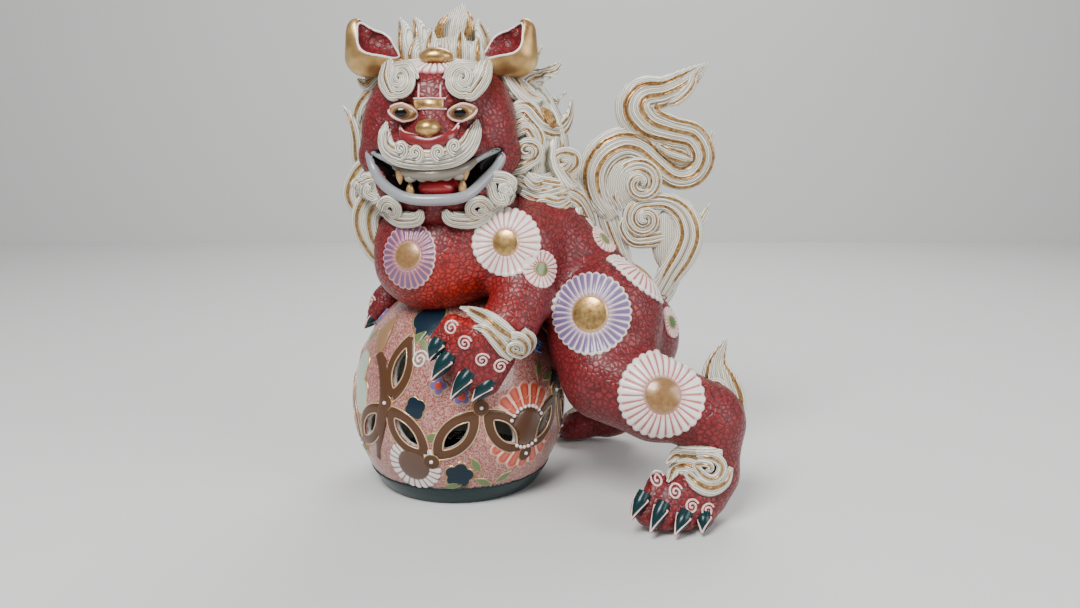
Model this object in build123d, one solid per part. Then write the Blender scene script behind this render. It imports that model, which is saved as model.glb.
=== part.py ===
from build123d import *

import math
import os

# A porcelain guardian lion with its forepaws on a pierced ball.
#
# The lion is made the way a potter makes it: hollow moulded shells for the torso, head, legs and ball,
# and small moulded or modelled sprigs (ears, eyes, brows, curls, claws, flames, tail scrolls) luted on
# with slip before firing. Each of those pieces is its own solid, and each one is cut to the face of the
# piece it is luted to, so that neighbours meet and never share material.
#
# Units are millimetres, +Z is up. While modelling, the ball's axis is x = 0, y = 0 and the table is z = 0;
# at the end the whole figure is shifted so that the origin is the middle of its footprint.
# The lion's body runs along X, its rump towards +X, and its head looks along -Y.

# Driving dimensions ---------------------------------------------------------------------------------
WALL = 7.0  # moulded shells
BALL_WALL = 6.0
BALL_RADIUS = 89.4  # across, at its widest
BALL_HALF_HEIGHT = 103.0
BALL_CENTRE_Z = 70.6
FOOT_BAND = 9.0  # height of the dark foot ring below the ball shell
WINDOW_LENGTH, WINDOW_WIDTH = 30.0, 12.0  # leaf-shaped piercings
WINDOW_BELT_Z = 65.0
WINDOW_COUNT = 14  # round the belt, leaning to and fro
WINDOW_START = -113.0  # degrees round the ball from +X
WINDOW_LEAN = 42.0  # degrees from upright
TALL_WINDOWS = (-120.0, 60.0, 150.0)  # upright ones above the belt
TALL_WINDOW_Z = 114.0
DRAIN_RADIUS = 9.0

HEAD = (-9.0, -26.0, 304.0)  # middle of the skull
HEAD_AXIS_X = -9.5  # the face's own middle line
TAIL_Y = 10.0  # plane of the tail's scrolls

SOLE_Z = 0.0


# Shapes ---------------------------------------------------------------------------------------------
# A form is a list of simple solids, in the order in which they are fused.
SEAM = Rot(31, 17, 0)  # turns a sphere's seam and poles away from the figure's own planes


def ball(x, y, z, radius):
    return [Pos(x, y, z) * SEAM * Sphere(radius)]


def link(p, q):
    """The cone or cylinder between two (x, y, z, radius) knots."""
    way = Vector(*q[:3]) - Vector(*p[:3])
    upright = (Align.CENTER, Align.CENTER, Align.MIN)
    low, high = 0.96 * p[3], 0.96 * q[3]
    if abs(low - high) < 0.2:
        body = Cylinder(low, way.length, align=upright)
    else:
        body = Cone(low, high, way.length, align=upright)
    return Plane(origin=p[:3], z_dir=way) * body


def chain(*knots):
    """A limb, roll or lock: balls at (x, y, z, radius) knots with cones between them."""
    form = ball(*knots[0])
    for p, q in zip(knots, knots[1:]):
        form += [link(p, q)] + ball(*q)
    return form


def thinner(knots, wall):
    """The same knots with each radius reduced by the wall, for the hollow inside."""
    return [(x, y, z, r - wall) for x, y, z, r in knots]


def disc(centre, facing, radius, thickness, edge):
    """A curl's body: a thick coin with rounded rims, facing along a vector."""
    coin = Cylinder(radius, thickness)
    coin = fillet(coin.edges().filter_by(GeomType.CIRCLE), edge)
    return [Plane(origin=centre, z_dir=facing) * coin]


def spike(base, tip, radius):
    """A fang or claw: a cone from its seat to its blunted tip."""
    way = Vector(*tip) - Vector(*base)
    cone = Cone(radius, radius * 0.16, way.length, align=(Align.CENTER, Align.CENTER, Align.MIN))
    return [Plane(origin=base, z_dir=way) * cone]


def flame(centre, facing, upward, outline, thickness):
    """A flat flame-shaped sprig inside a closed spline outline."""
    plane = Plane(origin=centre, x_dir=Vector(*upward).cross(Vector(*facing)), z_dir=facing)
    curve = Spline(*outline, periodic=True)
    plate = extrude(make_face(Wire([curve])), thickness / 2, both=True)
    return [plane * plate]


def turned(solid, degrees):
    """The solid turned a little about its own middle, which moves its seam."""
    centre = solid.center()
    return Pos(*centre) * Rot(degrees, degrees, 0) * Pos(*-centre) * solid


def fuse(form):
    """Fuses a form's solids one by one; apart from claws and fangs they end as one solid."""
    whole = Compound([form[0]])
    for solid in form[1:]:
        whole = joined(whole, solid)
    return whole


def joined(whole, solid):
    if not overlap(whole.bounding_box(), solid.bounding_box()):
        return Compound(whole.solids() + [solid])
    for degrees in (0, 3, -5, 9):
        result = whole.fuse(turned(solid, degrees) if degrees else solid)
        made = result.solids()
        largest = max(s.volume for s in whole.solids() + [solid])
        if sum(s.volume for s in made) >= largest * 0.999 and len(made) <= len(whole.solids()):
            return Compound(made)
    return Compound(made)


def trimmed(whole, tool):
    """Cuts a tool from a shape; a cut that comes out wrong is retried a hair off, then given up."""
    for degrees in (0, 2, -3):
        left = Compound(whole.solids()) - (turned(tool, degrees) if degrees else tool)
        pieces = left.solids()
        volume = sum(s.volume for s in pieces)
        sound = all(s.is_valid for s in pieces)
        if sound and whole.volume - tool.volume * 1.001 <= volume <= whole.volume * 1.0001:
            return Compound(pieces)
    return None


def overlap(a, b):
    return all(p < q for p, q in zip(a.min, b.max)) and all(p > q for p, q in zip(a.max, b.min))


def cut_clear(shape, forms):
    """Cuts the forms placed before from a shape, and keeps the parts that are not crumbs."""
    for tool, simple_solids in forms:
        if not shape.solids() or not overlap(tool.bounding_box(), shape.bounding_box()):
            continue
        result = trimmed(shape, tool)
        if result is None:
            for solid in simple_solids:
                result = trimmed(shape, solid)
                shape = result or shape
        else:
            shape = result
    solids = sorted(shape.solids(), key=lambda s: -s.volume)
    return [s for s in solids if s.volume > 0.04 * solids[0].volume]


# The ball -------------------------------------------------------------------------------------------
def ovoid(inset, low):
    """The ball's form, or its hollow when inset, cut flat at a height."""
    wide, tall = BALL_RADIUS - inset, BALL_HALF_HEIGHT - inset
    start = math.asin((low - BALL_CENTRE_Z) / tall)
    start = math.degrees(start)
    arc = EllipticalCenterArc((0, BALL_CENTRE_Z), wide, tall, start, arc_size=90 - start)
    edges = [arc, Line(arc @ 1, (0, low)), Line((0, low), arc @ 0)]
    return revolve(Plane.XZ * make_face(Wire(edges)), Axis.Z)


def window(bearing, height, lean):
    """A leaf-shaped cutter that goes through the wall at one bearing."""
    half, bulge = WINDOW_LENGTH / 2, WINDOW_WIDTH / 2
    leaf = make_face(
        Wire(
            [
                ThreePointArc((0, -half), (bulge, 0), (0, half)),
                ThreePointArc((0, half), (-bulge, 0), (0, -half)),
            ]
        )
    )
    cutter = extrude(Rot(0, 0, lean) * leaf, BALL_RADIUS)
    angle = math.radians(bearing)
    out = Vector(math.cos(angle), math.sin(angle), 0)
    seat = Plane(
        origin=out * (BALL_RADIUS * 0.45) + Vector(0, 0, height),
        x_dir=Vector(-math.sin(angle), math.cos(angle), 0),
        z_dir=out,
    )
    return seat * cutter


def ball_pieces():
    full = ovoid(0, SOLE_Z)
    hollow = ovoid(BALL_WALL, SOLE_Z)
    above = Pos(0, 0, FOOT_BAND + BALL_HALF_HEIGHT) * Box(300, 300, 2 * BALL_HALF_HEIGHT)
    below = Pos(0, 0, FOOT_BAND - BALL_HALF_HEIGHT) * Box(300, 300, 2 * BALL_HALF_HEIGHT)
    wall = full - hollow
    shell = wall & above
    for i in range(WINDOW_COUNT):
        lean = -WINDOW_LEAN if i % 2 else WINDOW_LEAN
        shell = shell - window(WINDOW_START + i * 360 / WINDOW_COUNT, WINDOW_BELT_Z, lean)
    for bearing in TALL_WINDOWS:
        shell = shell - window(bearing, TALL_WINDOW_Z, -8)
    return {"ball_shell": shell.solids(), "ball_foot_ring": (wall & below).solids()}, full


# The lion's big shells ------------------------------------------------------------------------------
TORSO = [(-3, -7, 246, 40), (-4, -20, 198, 47), (72, 0, 203, 49), (144, 0, 121, 47)]
TORSO_HOLLOW = [(34, -8, 216, 30), (72, 0, 203, 42), (144, 0, 121, 40)]
SKULL = (-9, -22, 303, 56)
MUZZLE = [(-30, -50, 288, 27), (12, -50, 288, 27)]

LEFT_HIND = [(128, -37, 146, 44), (116, -66, 102, 38), (184, -84, 74, 31), (192, -90, 38, 25)]
LEFT_FOOT = [(192, -92, 24, 24), (163, -108, 20, 22)]
RIGHT_HIND = [(124, 37, 144, 42), (100, 62, 100, 34), (148, 80, 70, 28), (146, 86, 36, 23)]
RIGHT_FOOT = [(144, 88, 22, 24), (112, 96, 19, 20)]
LEFT_FORE = [(66, -40, 203, 28), (82, -60, 168, 23), (52, -80, 141, 20), (22, -86, 122, 20)]
RIGHT_FORE = [(44, 36, 198, 27), (-6, 60, 178, 21), (-52, 46, 158, 18), (-66, 30, 146, 15)]

TOE_RADIUS = 9.5
LEFT_FORE_TOES = [(-4, -89, 124), (4, -95, 112), (18, -99, 104), (34, -97, 102)]
RIGHT_FORE_TOES = [(-72, 24, 146), (-74, 32, 138), (-72, 42, 134)]
LEFT_HIND_TOES = [(150, -104, 26), (149, -118, 14), (163, -125, 13), (178, -123, 13)]
RIGHT_HIND_TOES = [(98, 86, 14), (94, 98, 13), (102, 109, 13)]
CLAW_LENGTH, CLAW_RADIUS = 13.0, 4.6


def toes(spots):
    return [solid for spot in spots for solid in ball(*spot, TOE_RADIUS)]


def claws(spots, forward, droop):
    """One claw per toe, set in the toe's front and pointing forward and down."""
    way = (Vector(*forward).normalized() + Vector(0, 0, -droop)).normalized()
    made = []
    for spot in spots:
        seat = Vector(*spot) + way * (TOE_RADIUS * 0.55)
        made += spike(tuple(seat), tuple(seat + way * CLAW_LENGTH), CLAW_RADIUS)
    return made


def torso():
    drain = Pos(110, 0, 90) * Cylinder(DRAIN_RADIUS, 110)
    return chain(*TORSO), chain(*TORSO_HOLLOW) + [drain]


def skull():
    outer = ball(*SKULL) + chain(*MUZZLE)
    cavity = ball(-9, -14, 308, 42)
    mouth = chain((-36, -54, 266, 13), (18, -54, 266, 13))
    return outer, cavity + mouth


def lower_jaw():
    rim = chain(
        (-61, -42, 279, 6.5),
        (-40, -66, 253, 7.5),
        (-9.5, -76, 247, 7.5),
        (23, -66, 254, 7.5),
        (43, -42, 283, 6.5),
    )
    return rim + chain((-32, -54, 243, 13), (14, -54, 243, 13))


def upper_lip():
    return chain(
        (-60, -44, 287, 5),
        (-36, -72, 271, 5.5),
        (-9.5, -84, 268, 6),
        (19, -72, 272, 5.5),
        (42, -44, 290, 5),
    )


def ear(side):
    """Its outer form, and the hollow that makes a cup of it."""
    x = HEAD_AXIS_X
    outer = chain(
        (x + side * 32, -20, 343, 12), (x + side * 56, -14, 357, 19), (x + side * 66, -18, 372, 9)
    )
    return outer, ball(x + side * 52, -34, 370, 17)


def eye(side):
    return ball(HEAD_AXIS_X + side * 21.7, -66, 312, 9)


def brow(side):
    x = HEAD_AXIS_X
    return chain(
        (x + side * 40, -50, 346, 6), (x + side * 34, -66, 330, 10), (x + side * 17, -74, 328, 11)
    )


def moustache():
    x = HEAD_AXIS_X
    return chain(
        (x - 35, -66, 297, 5),
        (x - 29, -76, 282, 9),
        (x - 9, -86, 279, 9),
        (x + 9, -86, 279, 9),
        (x + 29, -76, 282, 9),
        (x + 35, -66, 297, 5),
    )


def beard(side):
    x = HEAD_AXIS_X
    return chain(
        (x + side * 54, -40, 266, 11), (x + side * 36, -58, 240, 13), (x + side * 17, -62, 231, 11)
    )


def mane_left():
    return chain(
        (58, 6, 342, 22),
        (72, 8, 316, 22),
        (70, 2, 282, 23),
        (78, -4, 250, 26),
        (96, -6, 214, 15),
        (102, -14, 190, 9),
    )


def mane_right():
    return chain(
        (-66, 6, 330, 15), (-78, 8, 300, 12), (-76, 2, 258, 13), (-70, -4, 232, 13), (-60, -10, 206, 9)
    )


def mane_back():
    return chain((-8, 26, 322, 43), (34, 30, 252, 41))


def mane_crown():
    """Four short locks standing up round the bun."""
    form = ball(-4, 8, 350, 20)
    for x, y, z, lean in ((-38, -18, 350, -4), (-22, -8, 352, -3), (26, -8, 350, 4), (34, 10, 346, 10)):
        form += chain((x, y, z, 11), (x + lean, y + 6, z + 22, 5))
    return form


CROWN_OUTLINE = [(-15, -20), (-17, 0), (-11, 14), (0, 27), (12, 14), (17, 0), (15, -20)]
HOCK_OUTLINE = [(0, -34), (-12, -12), (-17, 8), (-8, 26), (0, 42), (6, 24), (17, 2), (10, -18)]


def hock_flame(side):
    """side -1 is the lion's left leg, nearer -Y."""
    spot = (207, -74, 96) if side < 0 else (172, 76, 92)
    return flame(spot, (0.1, side, 0), (0, 0, 1), HOCK_OUTLINE, 13)


# The tail -------------------------------------------------------------------------------------------
def tail():
    y = TAIL_Y
    root = chain(
        (174, 6, 150, 14), (194, y, 178, 17), (198, y, 210, 15), (180, y, 232, 14), (160, y, 238, 14)
    )
    crest = chain(
        (150, y, 290, 18),
        (184, y, 276, 17),
        (198, y, 284, 16),
        (188, y, 302, 15),
        (154, y, 314, 16),
        (166, y, 334, 13),
        (188, y, 343, 8),
        (204, y, 352, 3),
    )
    return [
        ("tail_lower_curl", disc((154, y, 225), (0, 1, 0), 24, 34, 9)),
        ("tail_main_scroll", disc((141, y, 259), (0, 1, 0), 43, 38, 12)),
        ("tail_root", root),
        ("tail_crest", crest),
    ]


# Assembly -------------------------------------------------------------------------------------------
def plan():
    """(node, form, hollow) for each piece; what comes first keeps its whole form."""
    torso_form, torso_hollow = torso()
    head_form, head_hollow = skull()
    left_ear, left_cup = ear(1)
    right_ear, right_cup = ear(-1)
    x = HEAD_AXIS_X
    fangs_up = spike((x - 24, -74, 268), (x - 24, -75, 252), 4.5)
    fangs_up += spike((x + 24, -74, 268), (x + 24, -75, 252), 4.5)
    fangs_low = spike((x - 16, -73, 250), (x - 16, -74, 264), 4.2)
    fangs_low += spike((x + 17, -73, 250), (x + 17, -74, 264), 4.2)
    tongue = chain((-13, -46, 256, 10), (-13, -66, 256, 8))
    tongue += chain((-5, -46, 256, 10), (-5, -66, 256, 8))
    left_hind = chain(*LEFT_HIND) + chain(*LEFT_FOOT) + toes(LEFT_HIND_TOES)
    right_hind = chain(*RIGHT_HIND) + chain(*RIGHT_FOOT) + toes(RIGHT_HIND_TOES)
    crown = flame((-1, -6, 366), (0, -1, 0.1), (0, 0.1, 1), CROWN_OUTLINE, 14)
    pieces = [
        ("nose", chain((x - 5, -86, 299, 7), (x + 3, -86, 299, 7)), []),
        ("left_eye", eye(1), []),
        ("right_eye", eye(-1), []),
        ("tongue", tongue, []),
        ("upper_fangs", fangs_up, []),
        ("lower_fangs", fangs_low, []),
        ("torso_shell", torso_form, torso_hollow),
        ("lower_jaw", lower_jaw(), []),
        ("upper_lip", upper_lip(), []),
        ("head_shell", head_form, head_hollow),
        ("forehead_boss", disc((x, -47, 352), (0, -0.42, 0.9), 12.5, 7, 2.5), []),
        ("left_ear", left_ear, left_cup),
        ("right_ear", right_ear, right_cup),
        ("left_brow", brow(1), []),
        ("right_brow", brow(-1), []),
        ("moustache", moustache(), []),
        ("left_beard", beard(1), []),
        ("right_beard", beard(-1), []),
        ("left_fore_claws", claws(LEFT_FORE_TOES, (-0.6, -0.8, 0), 1.1), []),
        ("left_fore_cuff", disc((42, -98, 144), (-0.2, -0.8, 0.5), 14, 14, 5), []),
        ("left_foreleg", chain(*LEFT_FORE) + toes(LEFT_FORE_TOES), []),
        ("right_fore_claws", claws(RIGHT_FORE_TOES, (-1, -0.2, 0), 1.2), []),
        ("right_fore_cuff", disc((-46, 60, 172), (-0.3, 0.5, 0.8), 12, 14, 5), []),
        ("right_foreleg", chain(*RIGHT_FORE) + toes(RIGHT_FORE_TOES), []),
        ("left_hind_claws", claws(LEFT_HIND_TOES, (-0.5, -0.85, 0), 0.35), []),
        ("left_hind_cuff", disc((190, -114, 50), (0.1, -1, 0.15), 17, 14, 5), []),
        ("left_hind_leg", left_hind, chain(*thinner(LEFT_HIND, WALL))),
        ("right_hind_claws", claws(RIGHT_HIND_TOES, (-0.9, 0.35, 0), 0.35), []),
        ("right_hind_cuff", disc((116, 70, 40), (-0.8, -0.5, 0.1), 15, 14, 5), []),
        ("right_hind_leg", right_hind, chain(*thinner(RIGHT_HIND, WALL))),
        ("left_hock_flame", hock_flame(-1), []),
        ("right_hock_flame", hock_flame(1), []),
    ]
    pieces += [(node, form, []) for node, form in tail()]
    pieces += [
        ("crown_flame", crown, []),
        ("mane_crown", mane_crown(), []),
        ("mane_left", mane_left(), []),
        ("mane_right", mane_right(), []),
        ("mane_back", mane_back(), []),
    ]
    return pieces


def build():
    made, ball_full = ball_pieces()
    table = Pos(70, 0, SOLE_Z - 100) * Box(500, 400, 200)
    placed = [(table, [table]), (ball_full, [ball_full])]
    for node, form, hollow in plan():
        whole = fuse(form)
        inside = [(fuse(hollow), hollow)] if hollow else []
        made[node] = cut_clear(whole, placed + inside)
        placed.append((whole, form))
    return made


def main():
    made = build()
    whole = Compound([solid for solids in made.values() for solid in solids])
    box = whole.bounding_box()
    shift = Pos(-(box.min.X + box.max.X) / 2, -(box.min.Y + box.max.Y) / 2, 0)
    os.makedirs("parts", exist_ok=True)
    for node, solids in made.items():
        export_step(Compound(solids).moved(shift), f"parts/{node}.step")


main()
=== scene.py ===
"""Looks for the porcelain guardian lion: red pebbled skin, combed white mane and tail, enamelled ball.

Everything is modelled in millimetres about the ball's axis (x = y = 0, table at z = 0) and shifted into the
row frame when a mesh is made. Big forms are distance fields meshed by surface nets; locks are swept ribbons
laid on them; medallions and the ball's enamels are thin relief patches laid on the form below.
"""

import math

import bpy
import numpy as np
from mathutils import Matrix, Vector


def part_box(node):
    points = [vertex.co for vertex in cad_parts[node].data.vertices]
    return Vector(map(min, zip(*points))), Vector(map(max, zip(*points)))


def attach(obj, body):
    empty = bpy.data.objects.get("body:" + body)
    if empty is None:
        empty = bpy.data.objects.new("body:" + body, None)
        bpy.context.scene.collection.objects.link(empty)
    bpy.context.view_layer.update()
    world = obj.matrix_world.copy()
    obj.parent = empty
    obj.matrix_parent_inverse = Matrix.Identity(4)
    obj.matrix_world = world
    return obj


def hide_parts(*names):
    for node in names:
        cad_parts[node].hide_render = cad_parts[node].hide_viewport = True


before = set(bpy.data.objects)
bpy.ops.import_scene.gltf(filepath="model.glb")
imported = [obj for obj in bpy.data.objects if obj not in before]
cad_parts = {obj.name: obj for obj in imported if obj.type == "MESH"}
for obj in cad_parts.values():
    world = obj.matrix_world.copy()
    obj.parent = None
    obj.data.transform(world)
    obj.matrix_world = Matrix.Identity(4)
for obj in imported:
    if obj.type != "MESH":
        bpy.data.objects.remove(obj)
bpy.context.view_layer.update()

low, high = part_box("ball_shell")
AXIS = np.array([(low.x + high.x) / 2, (low.y + high.y) / 2, 0.0])  # the ball's axis in the row frame
MM = 0.001


def mesh_step(full):
    return full


# Vectors ----------------------------------------------------------------------------------------------
def vec(*a):
    return np.array(a, float)


def unit(v):
    """A vector, or each row of an array, at length 1."""
    v = np.asarray(v, float)
    return v / np.maximum(np.linalg.norm(v, axis=-1, keepdims=True), 1e-12)


def smoothstep(a, b, x):
    t = np.clip((x - a) / (b - a), 0, 1)
    return t * t * (3 - 2 * t)


def spline(points, step):
    """A Catmull-Rom curve through rows of numbers, sampled about every step mm along its first 3 columns."""
    p = np.asarray(points, float)
    p = np.vstack([2 * p[0] - p[1], p, 2 * p[-1] - p[-2]])
    out = []
    for a, b, c, d in zip(p[:-3], p[1:-2], p[2:-1], p[3:]):
        t = np.linspace(0, 1, 24, endpoint=False)[:, None]
        out.append(
            0.5 * (2 * b + (c - a) * t + (2 * a - 5 * b + 4 * c - d) * t**2 + (3 * b - a - 3 * c + d) * t**3)
        )
    out = np.vstack(out + [p[-2:-1]])
    run = np.concatenate([[0], np.cumsum(np.linalg.norm(np.diff(out[:, :3], axis=0), axis=1))])
    n = max(6, int(run[-1] / step) + 1)
    s = np.linspace(0, run[-1], n)
    return np.stack([np.interp(s, run, out[:, k]) for k in range(out.shape[1])], 1), s


# Distance fields: functions of (N, 3) points in mm ----------------------------------------------------
def egg(centre, radii, turn=None):
    """An ellipsoid; turn is (axis letter, degrees)."""
    c, r = vec(*centre), vec(*radii)
    m = np.eye(3)
    if turn:
        a, k = math.radians(turn[1]), "xyz".index(turn[0])
        i, j = [(1, 2), (2, 0), (0, 1)][k]
        m[i, i] = m[j, j] = math.cos(a)
        m[i, j], m[j, i] = -math.sin(a), math.sin(a)

    def f(p):
        q = (p - c) @ m
        k0 = np.linalg.norm(q / r, axis=1)
        k1 = np.linalg.norm(q / (r * r), axis=1)
        return k0 * (k0 - 1) / np.maximum(k1, 1e-9)

    return f


def rod(*knots):
    """Round cones through (x, y, z, r) knots."""
    k = np.array(knots, float)

    def f(p):
        d = None
        for a, b in zip(k[:-1], k[1:]):
            ab = b[:3] - a[:3]
            t = np.clip(((p - a[:3]) @ ab) / (ab @ ab), 0, 1)
            q = p - a[:3] - t[:, None] * ab
            e = np.linalg.norm(q, axis=1) - (a[3] + (b[3] - a[3]) * t)
            d = e if d is None else soft(d, e, 6)
        return d

    return f


def soft(a, b, k):
    """The lesser of two distances, blended where they differ by less than k."""
    h = np.maximum(k - np.abs(a - b), 0) / k
    return np.minimum(a, b) - h * h * k / 4


def carve(a, b, k):
    """a without b, with a soft edge."""
    return -soft(-a, b, k)


def union(k, *fs):
    """All the forms as one, with fillets of about k mm."""
    def f(p):
        d = fs[0](p)
        for g in fs[1:]:
            d = soft(d, g(p), k)
        return d

    return f


def without(f, k, g):
    """A form with another carved out of it."""
    return lambda p: carve(f(p), g(p), k)


def gradient(f, p):
    """The slope of a distance field at rows of points."""
    g, e = np.empty_like(p), 0.4
    for i in range(3):
        o = np.zeros(3)
        o[i] = e
        g[:, i] = f(p + o) - f(p - o)
    return g / (2 * e)


def net(f, lo, hi, h):
    """Surface nets: (vertices, quads) of f = 0 inside a box."""
    axes = [np.arange(a, b + h, h) for a, b in zip(lo, hi)]
    nx, ny, nz = (len(a) for a in axes)
    d = np.empty((nx, ny, nz))
    yy, zz = np.meshgrid(axes[1], axes[2], indexing="ij")
    for i, x in enumerate(axes[0]):
        d[i] = f(np.stack([np.full(yy.size, x), yy.ravel(), zz.ravel()], 1)).reshape(ny, nz)
    s = d < 0
    corners = [(i, j, k) for i in (0, 1) for j in (0, 1) for k in (0, 1)]
    count = sum(s[i : nx - 1 + i, j : ny - 1 + j, k : nz - 1 + k].astype(np.int8) for i, j, k in corners)
    cells = np.argwhere((count > 0) & (count < 8))
    index = np.full((nx - 1, ny - 1, nz - 1), -1)
    index[tuple(cells.T)] = np.arange(len(cells))
    total, hits = np.zeros((len(cells), 3)), np.zeros(len(cells))
    for a in corners:
        for axis in range(3):
            if a[axis]:
                continue
            b = list(a)
            b[axis] = 1
            ia, ib = cells + a, cells + b
            da, db = d[tuple(ia.T)], d[tuple(ib.T)]
            cross = (da < 0) != (db < 0)
            t = np.where(cross, da / np.where(cross, da - db, 1), 0)
            point = ia.astype(float)
            point[:, axis] += t
            total[cross] += point[cross]
            hits[cross] += 1
    v = total / hits[:, None] * h + np.array([a[0] for a in axes])
    quads = []
    for axis in range(3):
        u, w = (axis + 1) % 3, (axis + 2) % 3
        n = [nx, ny, nz]
        a = [slice(None)] * 3
        b = [slice(None)] * 3
        a[axis], b[axis] = slice(0, n[axis] - 1), slice(1, n[axis])
        diff = s[tuple(a)] != s[tuple(b)]
        e = np.argwhere(diff)
        e = e[(e[:, u] > 0) & (e[:, w] > 0) & (e[:, u] < n[u] - 1) & (e[:, w] < n[w] - 1)]
        du, dw = np.eye(3, dtype=int)[u], np.eye(3, dtype=int)[w]
        q = np.stack([index[tuple((e - o).T)] for o in (du + dw, dw, 0 * du, du)], 1)
        flip = ~s[tuple(e.T)]
        q[flip] = q[flip][:, ::-1]
        quads.append(q)
    quads = np.vstack(quads)
    for _ in range(2):
        g = gradient(f, v)
        v = v - np.clip(f(v), -h, h)[:, None] * g / np.maximum((g * g).sum(1), 0.2)[:, None]
    return v, quads[(quads >= 0).all(1)]


DROP_START = 120  # how far back along its way a dropped point begins, in mm
DROP_STEPS = 40


def drop(f, p, way):
    """Where points, sent along way, first meet f = 0; those that miss stop at their nearest approach."""
    p, way = np.array(p, float), unit(way)
    p = p - way * DROP_START
    best, closest = p.copy(), np.full(len(p), 1e9)
    for _ in range(DROP_STEPS):
        d = f(p)
        better = np.abs(d) < closest
        best[better], closest[better] = p[better], np.abs(d)[better]
        p = p + (np.clip(d, -4, 30) * 0.9)[:, None] * way
    return best


# Meshes -----------------------------------------------------------------------------------------------
class Heap:
    """Vertices, faces and values per vertex of one piece, gathered before its mesh is made."""

    def __init__(self):
        self.v, self.f, self.n, self.values = [], [], 0, {}

    def add(self, v, faces, **values):
        """Each value is one number, one colour (paint only) or one row per vertex."""
        self.v.append(v)
        for f in faces:
            self.f.append(f + self.n)
        for key, value in values.items():
            value = np.asarray(value, float)
            if value.ndim == 0:
                value = np.full(len(v), float(value))
            elif value.ndim == 1 and key == "paint":
                value = np.tile(value, (len(v), 1))
            self.values.setdefault(key, []).append((self.n, value))
        self.n += len(v)
        return self

    def make(self, name, finish, *nodes):
        """The mesh object, in the material of a finish (material, slot), in place of the CAD nodes named; the
        slot is not used.
        """
        mesh = bpy.data.meshes.new(name)
        v = np.vstack(self.v) * MM + AXIS
        loops = np.concatenate([f.ravel() for f in self.f])
        sizes = np.concatenate([np.full(len(f), f.shape[1]) for f in self.f])
        starts = np.concatenate([[0], np.cumsum(sizes)[:-1]])
        mesh.vertices.add(len(v))
        mesh.vertices.foreach_set("co", v.astype(np.float32).ravel())
        mesh.loops.add(len(loops))
        mesh.loops.foreach_set("vertex_index", loops.astype(np.int32))
        mesh.polygons.add(len(sizes))
        mesh.polygons.foreach_set("loop_start", starts.astype(np.int32))
        mesh.polygons.foreach_set("use_smooth", np.full(len(sizes), True))
        mesh.update(calc_edges=True)
        for key, parts in self.values.items():
            width = parts[0][1].shape[1] if parts[0][1].ndim == 2 else 1
            values = np.zeros((len(v), 4 if width > 1 else 1), np.float32)
            values[:, -1] = 1.0 if width > 1 else 0.0
            for start, value in parts:
                values[start : start + len(value), : width] = value.reshape(len(value), width)
            kind = "FLOAT_COLOR" if width > 1 else "FLOAT"
            layer = mesh.attributes.new(key, kind, "POINT")
            layer.data.foreach_set("color" if width > 1 else "value", values.ravel())
        mesh.validate()
        thing = bpy.data.objects.new(name, mesh)
        bpy.context.scene.collection.objects.link(thing)
        mesh.materials.append(finish[0])
        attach(thing, "root")
        if nodes:
            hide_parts(*nodes)
        return thing


def tube_faces(rows, ring):
    """Quads of a grid that closes round its second way."""
    i, j = np.meshgrid(np.arange(rows - 1), np.arange(ring), indexing="ij")
    i, j = i.ravel(), j.ravel()
    k = (j + 1) % ring
    return np.stack([i * ring + j, i * ring + k, (i + 1) * ring + k, (i + 1) * ring + j], 1)


def caps(rows, ring):
    """The two end faces of such a grid."""
    first = np.arange(ring)[::-1]
    last = (rows - 1) * ring + np.arange(ring)
    return [first[None, :], last[None, :]]


def ribbon(
    heap, knots, normal, ridges=3, depth=0.3, thick=0.55, step=1.0, gold=(0.5,), both=False, gold_width=0.13,
    around=44, colour=None,
):
    """A combed lock swept along (x, y, z, half width) knots.

    normal is its outward way, one vector or one per knot. It has ridges lengthwise with grooves between
    them; gold holds the places, from 0 to 1 across, of its gilt stripes. both works its back as well.
    """
    knots = np.asarray(knots, float)
    normal = np.asarray(normal, float)
    if normal.ndim == 1:
        normal = np.tile(normal, (len(knots), 1))
    curve, s = spline(np.hstack([knots, normal]), step)
    c, w = curve[:, :3], np.maximum(curve[:, 3], 0.25)
    t = unit(np.gradient(c, axis=0))
    n = unit(curve[:, 4:7] - (curve[:, 4:7] * t).sum(1)[:, None] * t)
    b = np.cross(t, n)
    phi = np.linspace(0, 2 * math.pi, around, endpoint=False)
    across, lift = np.cos(phi), np.sin(phi)
    lift = np.sign(lift) * np.abs(lift) ** 0.75
    place = (across + 1) / 2
    wave = np.abs(np.sin(math.pi * ridges * place)) ** 0.55  # 0 in a groove, 1 on a ridge
    edge = smoothstep(0.0, 0.16, place) * smoothstep(0.0, 0.16, 1 - place)
    cut = depth * (1 - wave) * edge
    top = lift > 0
    shape = lift * np.where(top | both, 1 - cut, 1)
    v = (
        c[:, None, :]
        + b[:, None, :] * (w[:, None] * across[None, :])[:, :, None]
        + n[:, None, :] * (w[:, None] * thick * shape[None, :])[:, :, None]
    )
    gilt = np.zeros(around)
    for g in gold:
        gilt = np.maximum(gilt, 1 - smoothstep(gold_width * 0.55, gold_width, np.abs(place - g)))
    gilt = gilt * (top | both)
    share = s / s[-1]
    fade = smoothstep(0.02, 0.14, share) * smoothstep(0.0, 0.10, 1 - share)
    values = {} if colour is None else {"paint": vec(*colour)}
    heap.add(
        v.reshape(-1, 3),
        [tube_faces(len(c), around)] + caps(len(c), around),
        across=(w[:, None] * across[None, :]).ravel(),
        gold=(fade[:, None] * gilt[None, :]).ravel(),
        deep=np.tile(cut / max(depth, 1e-6), len(c)),
        **values,
    )


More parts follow.
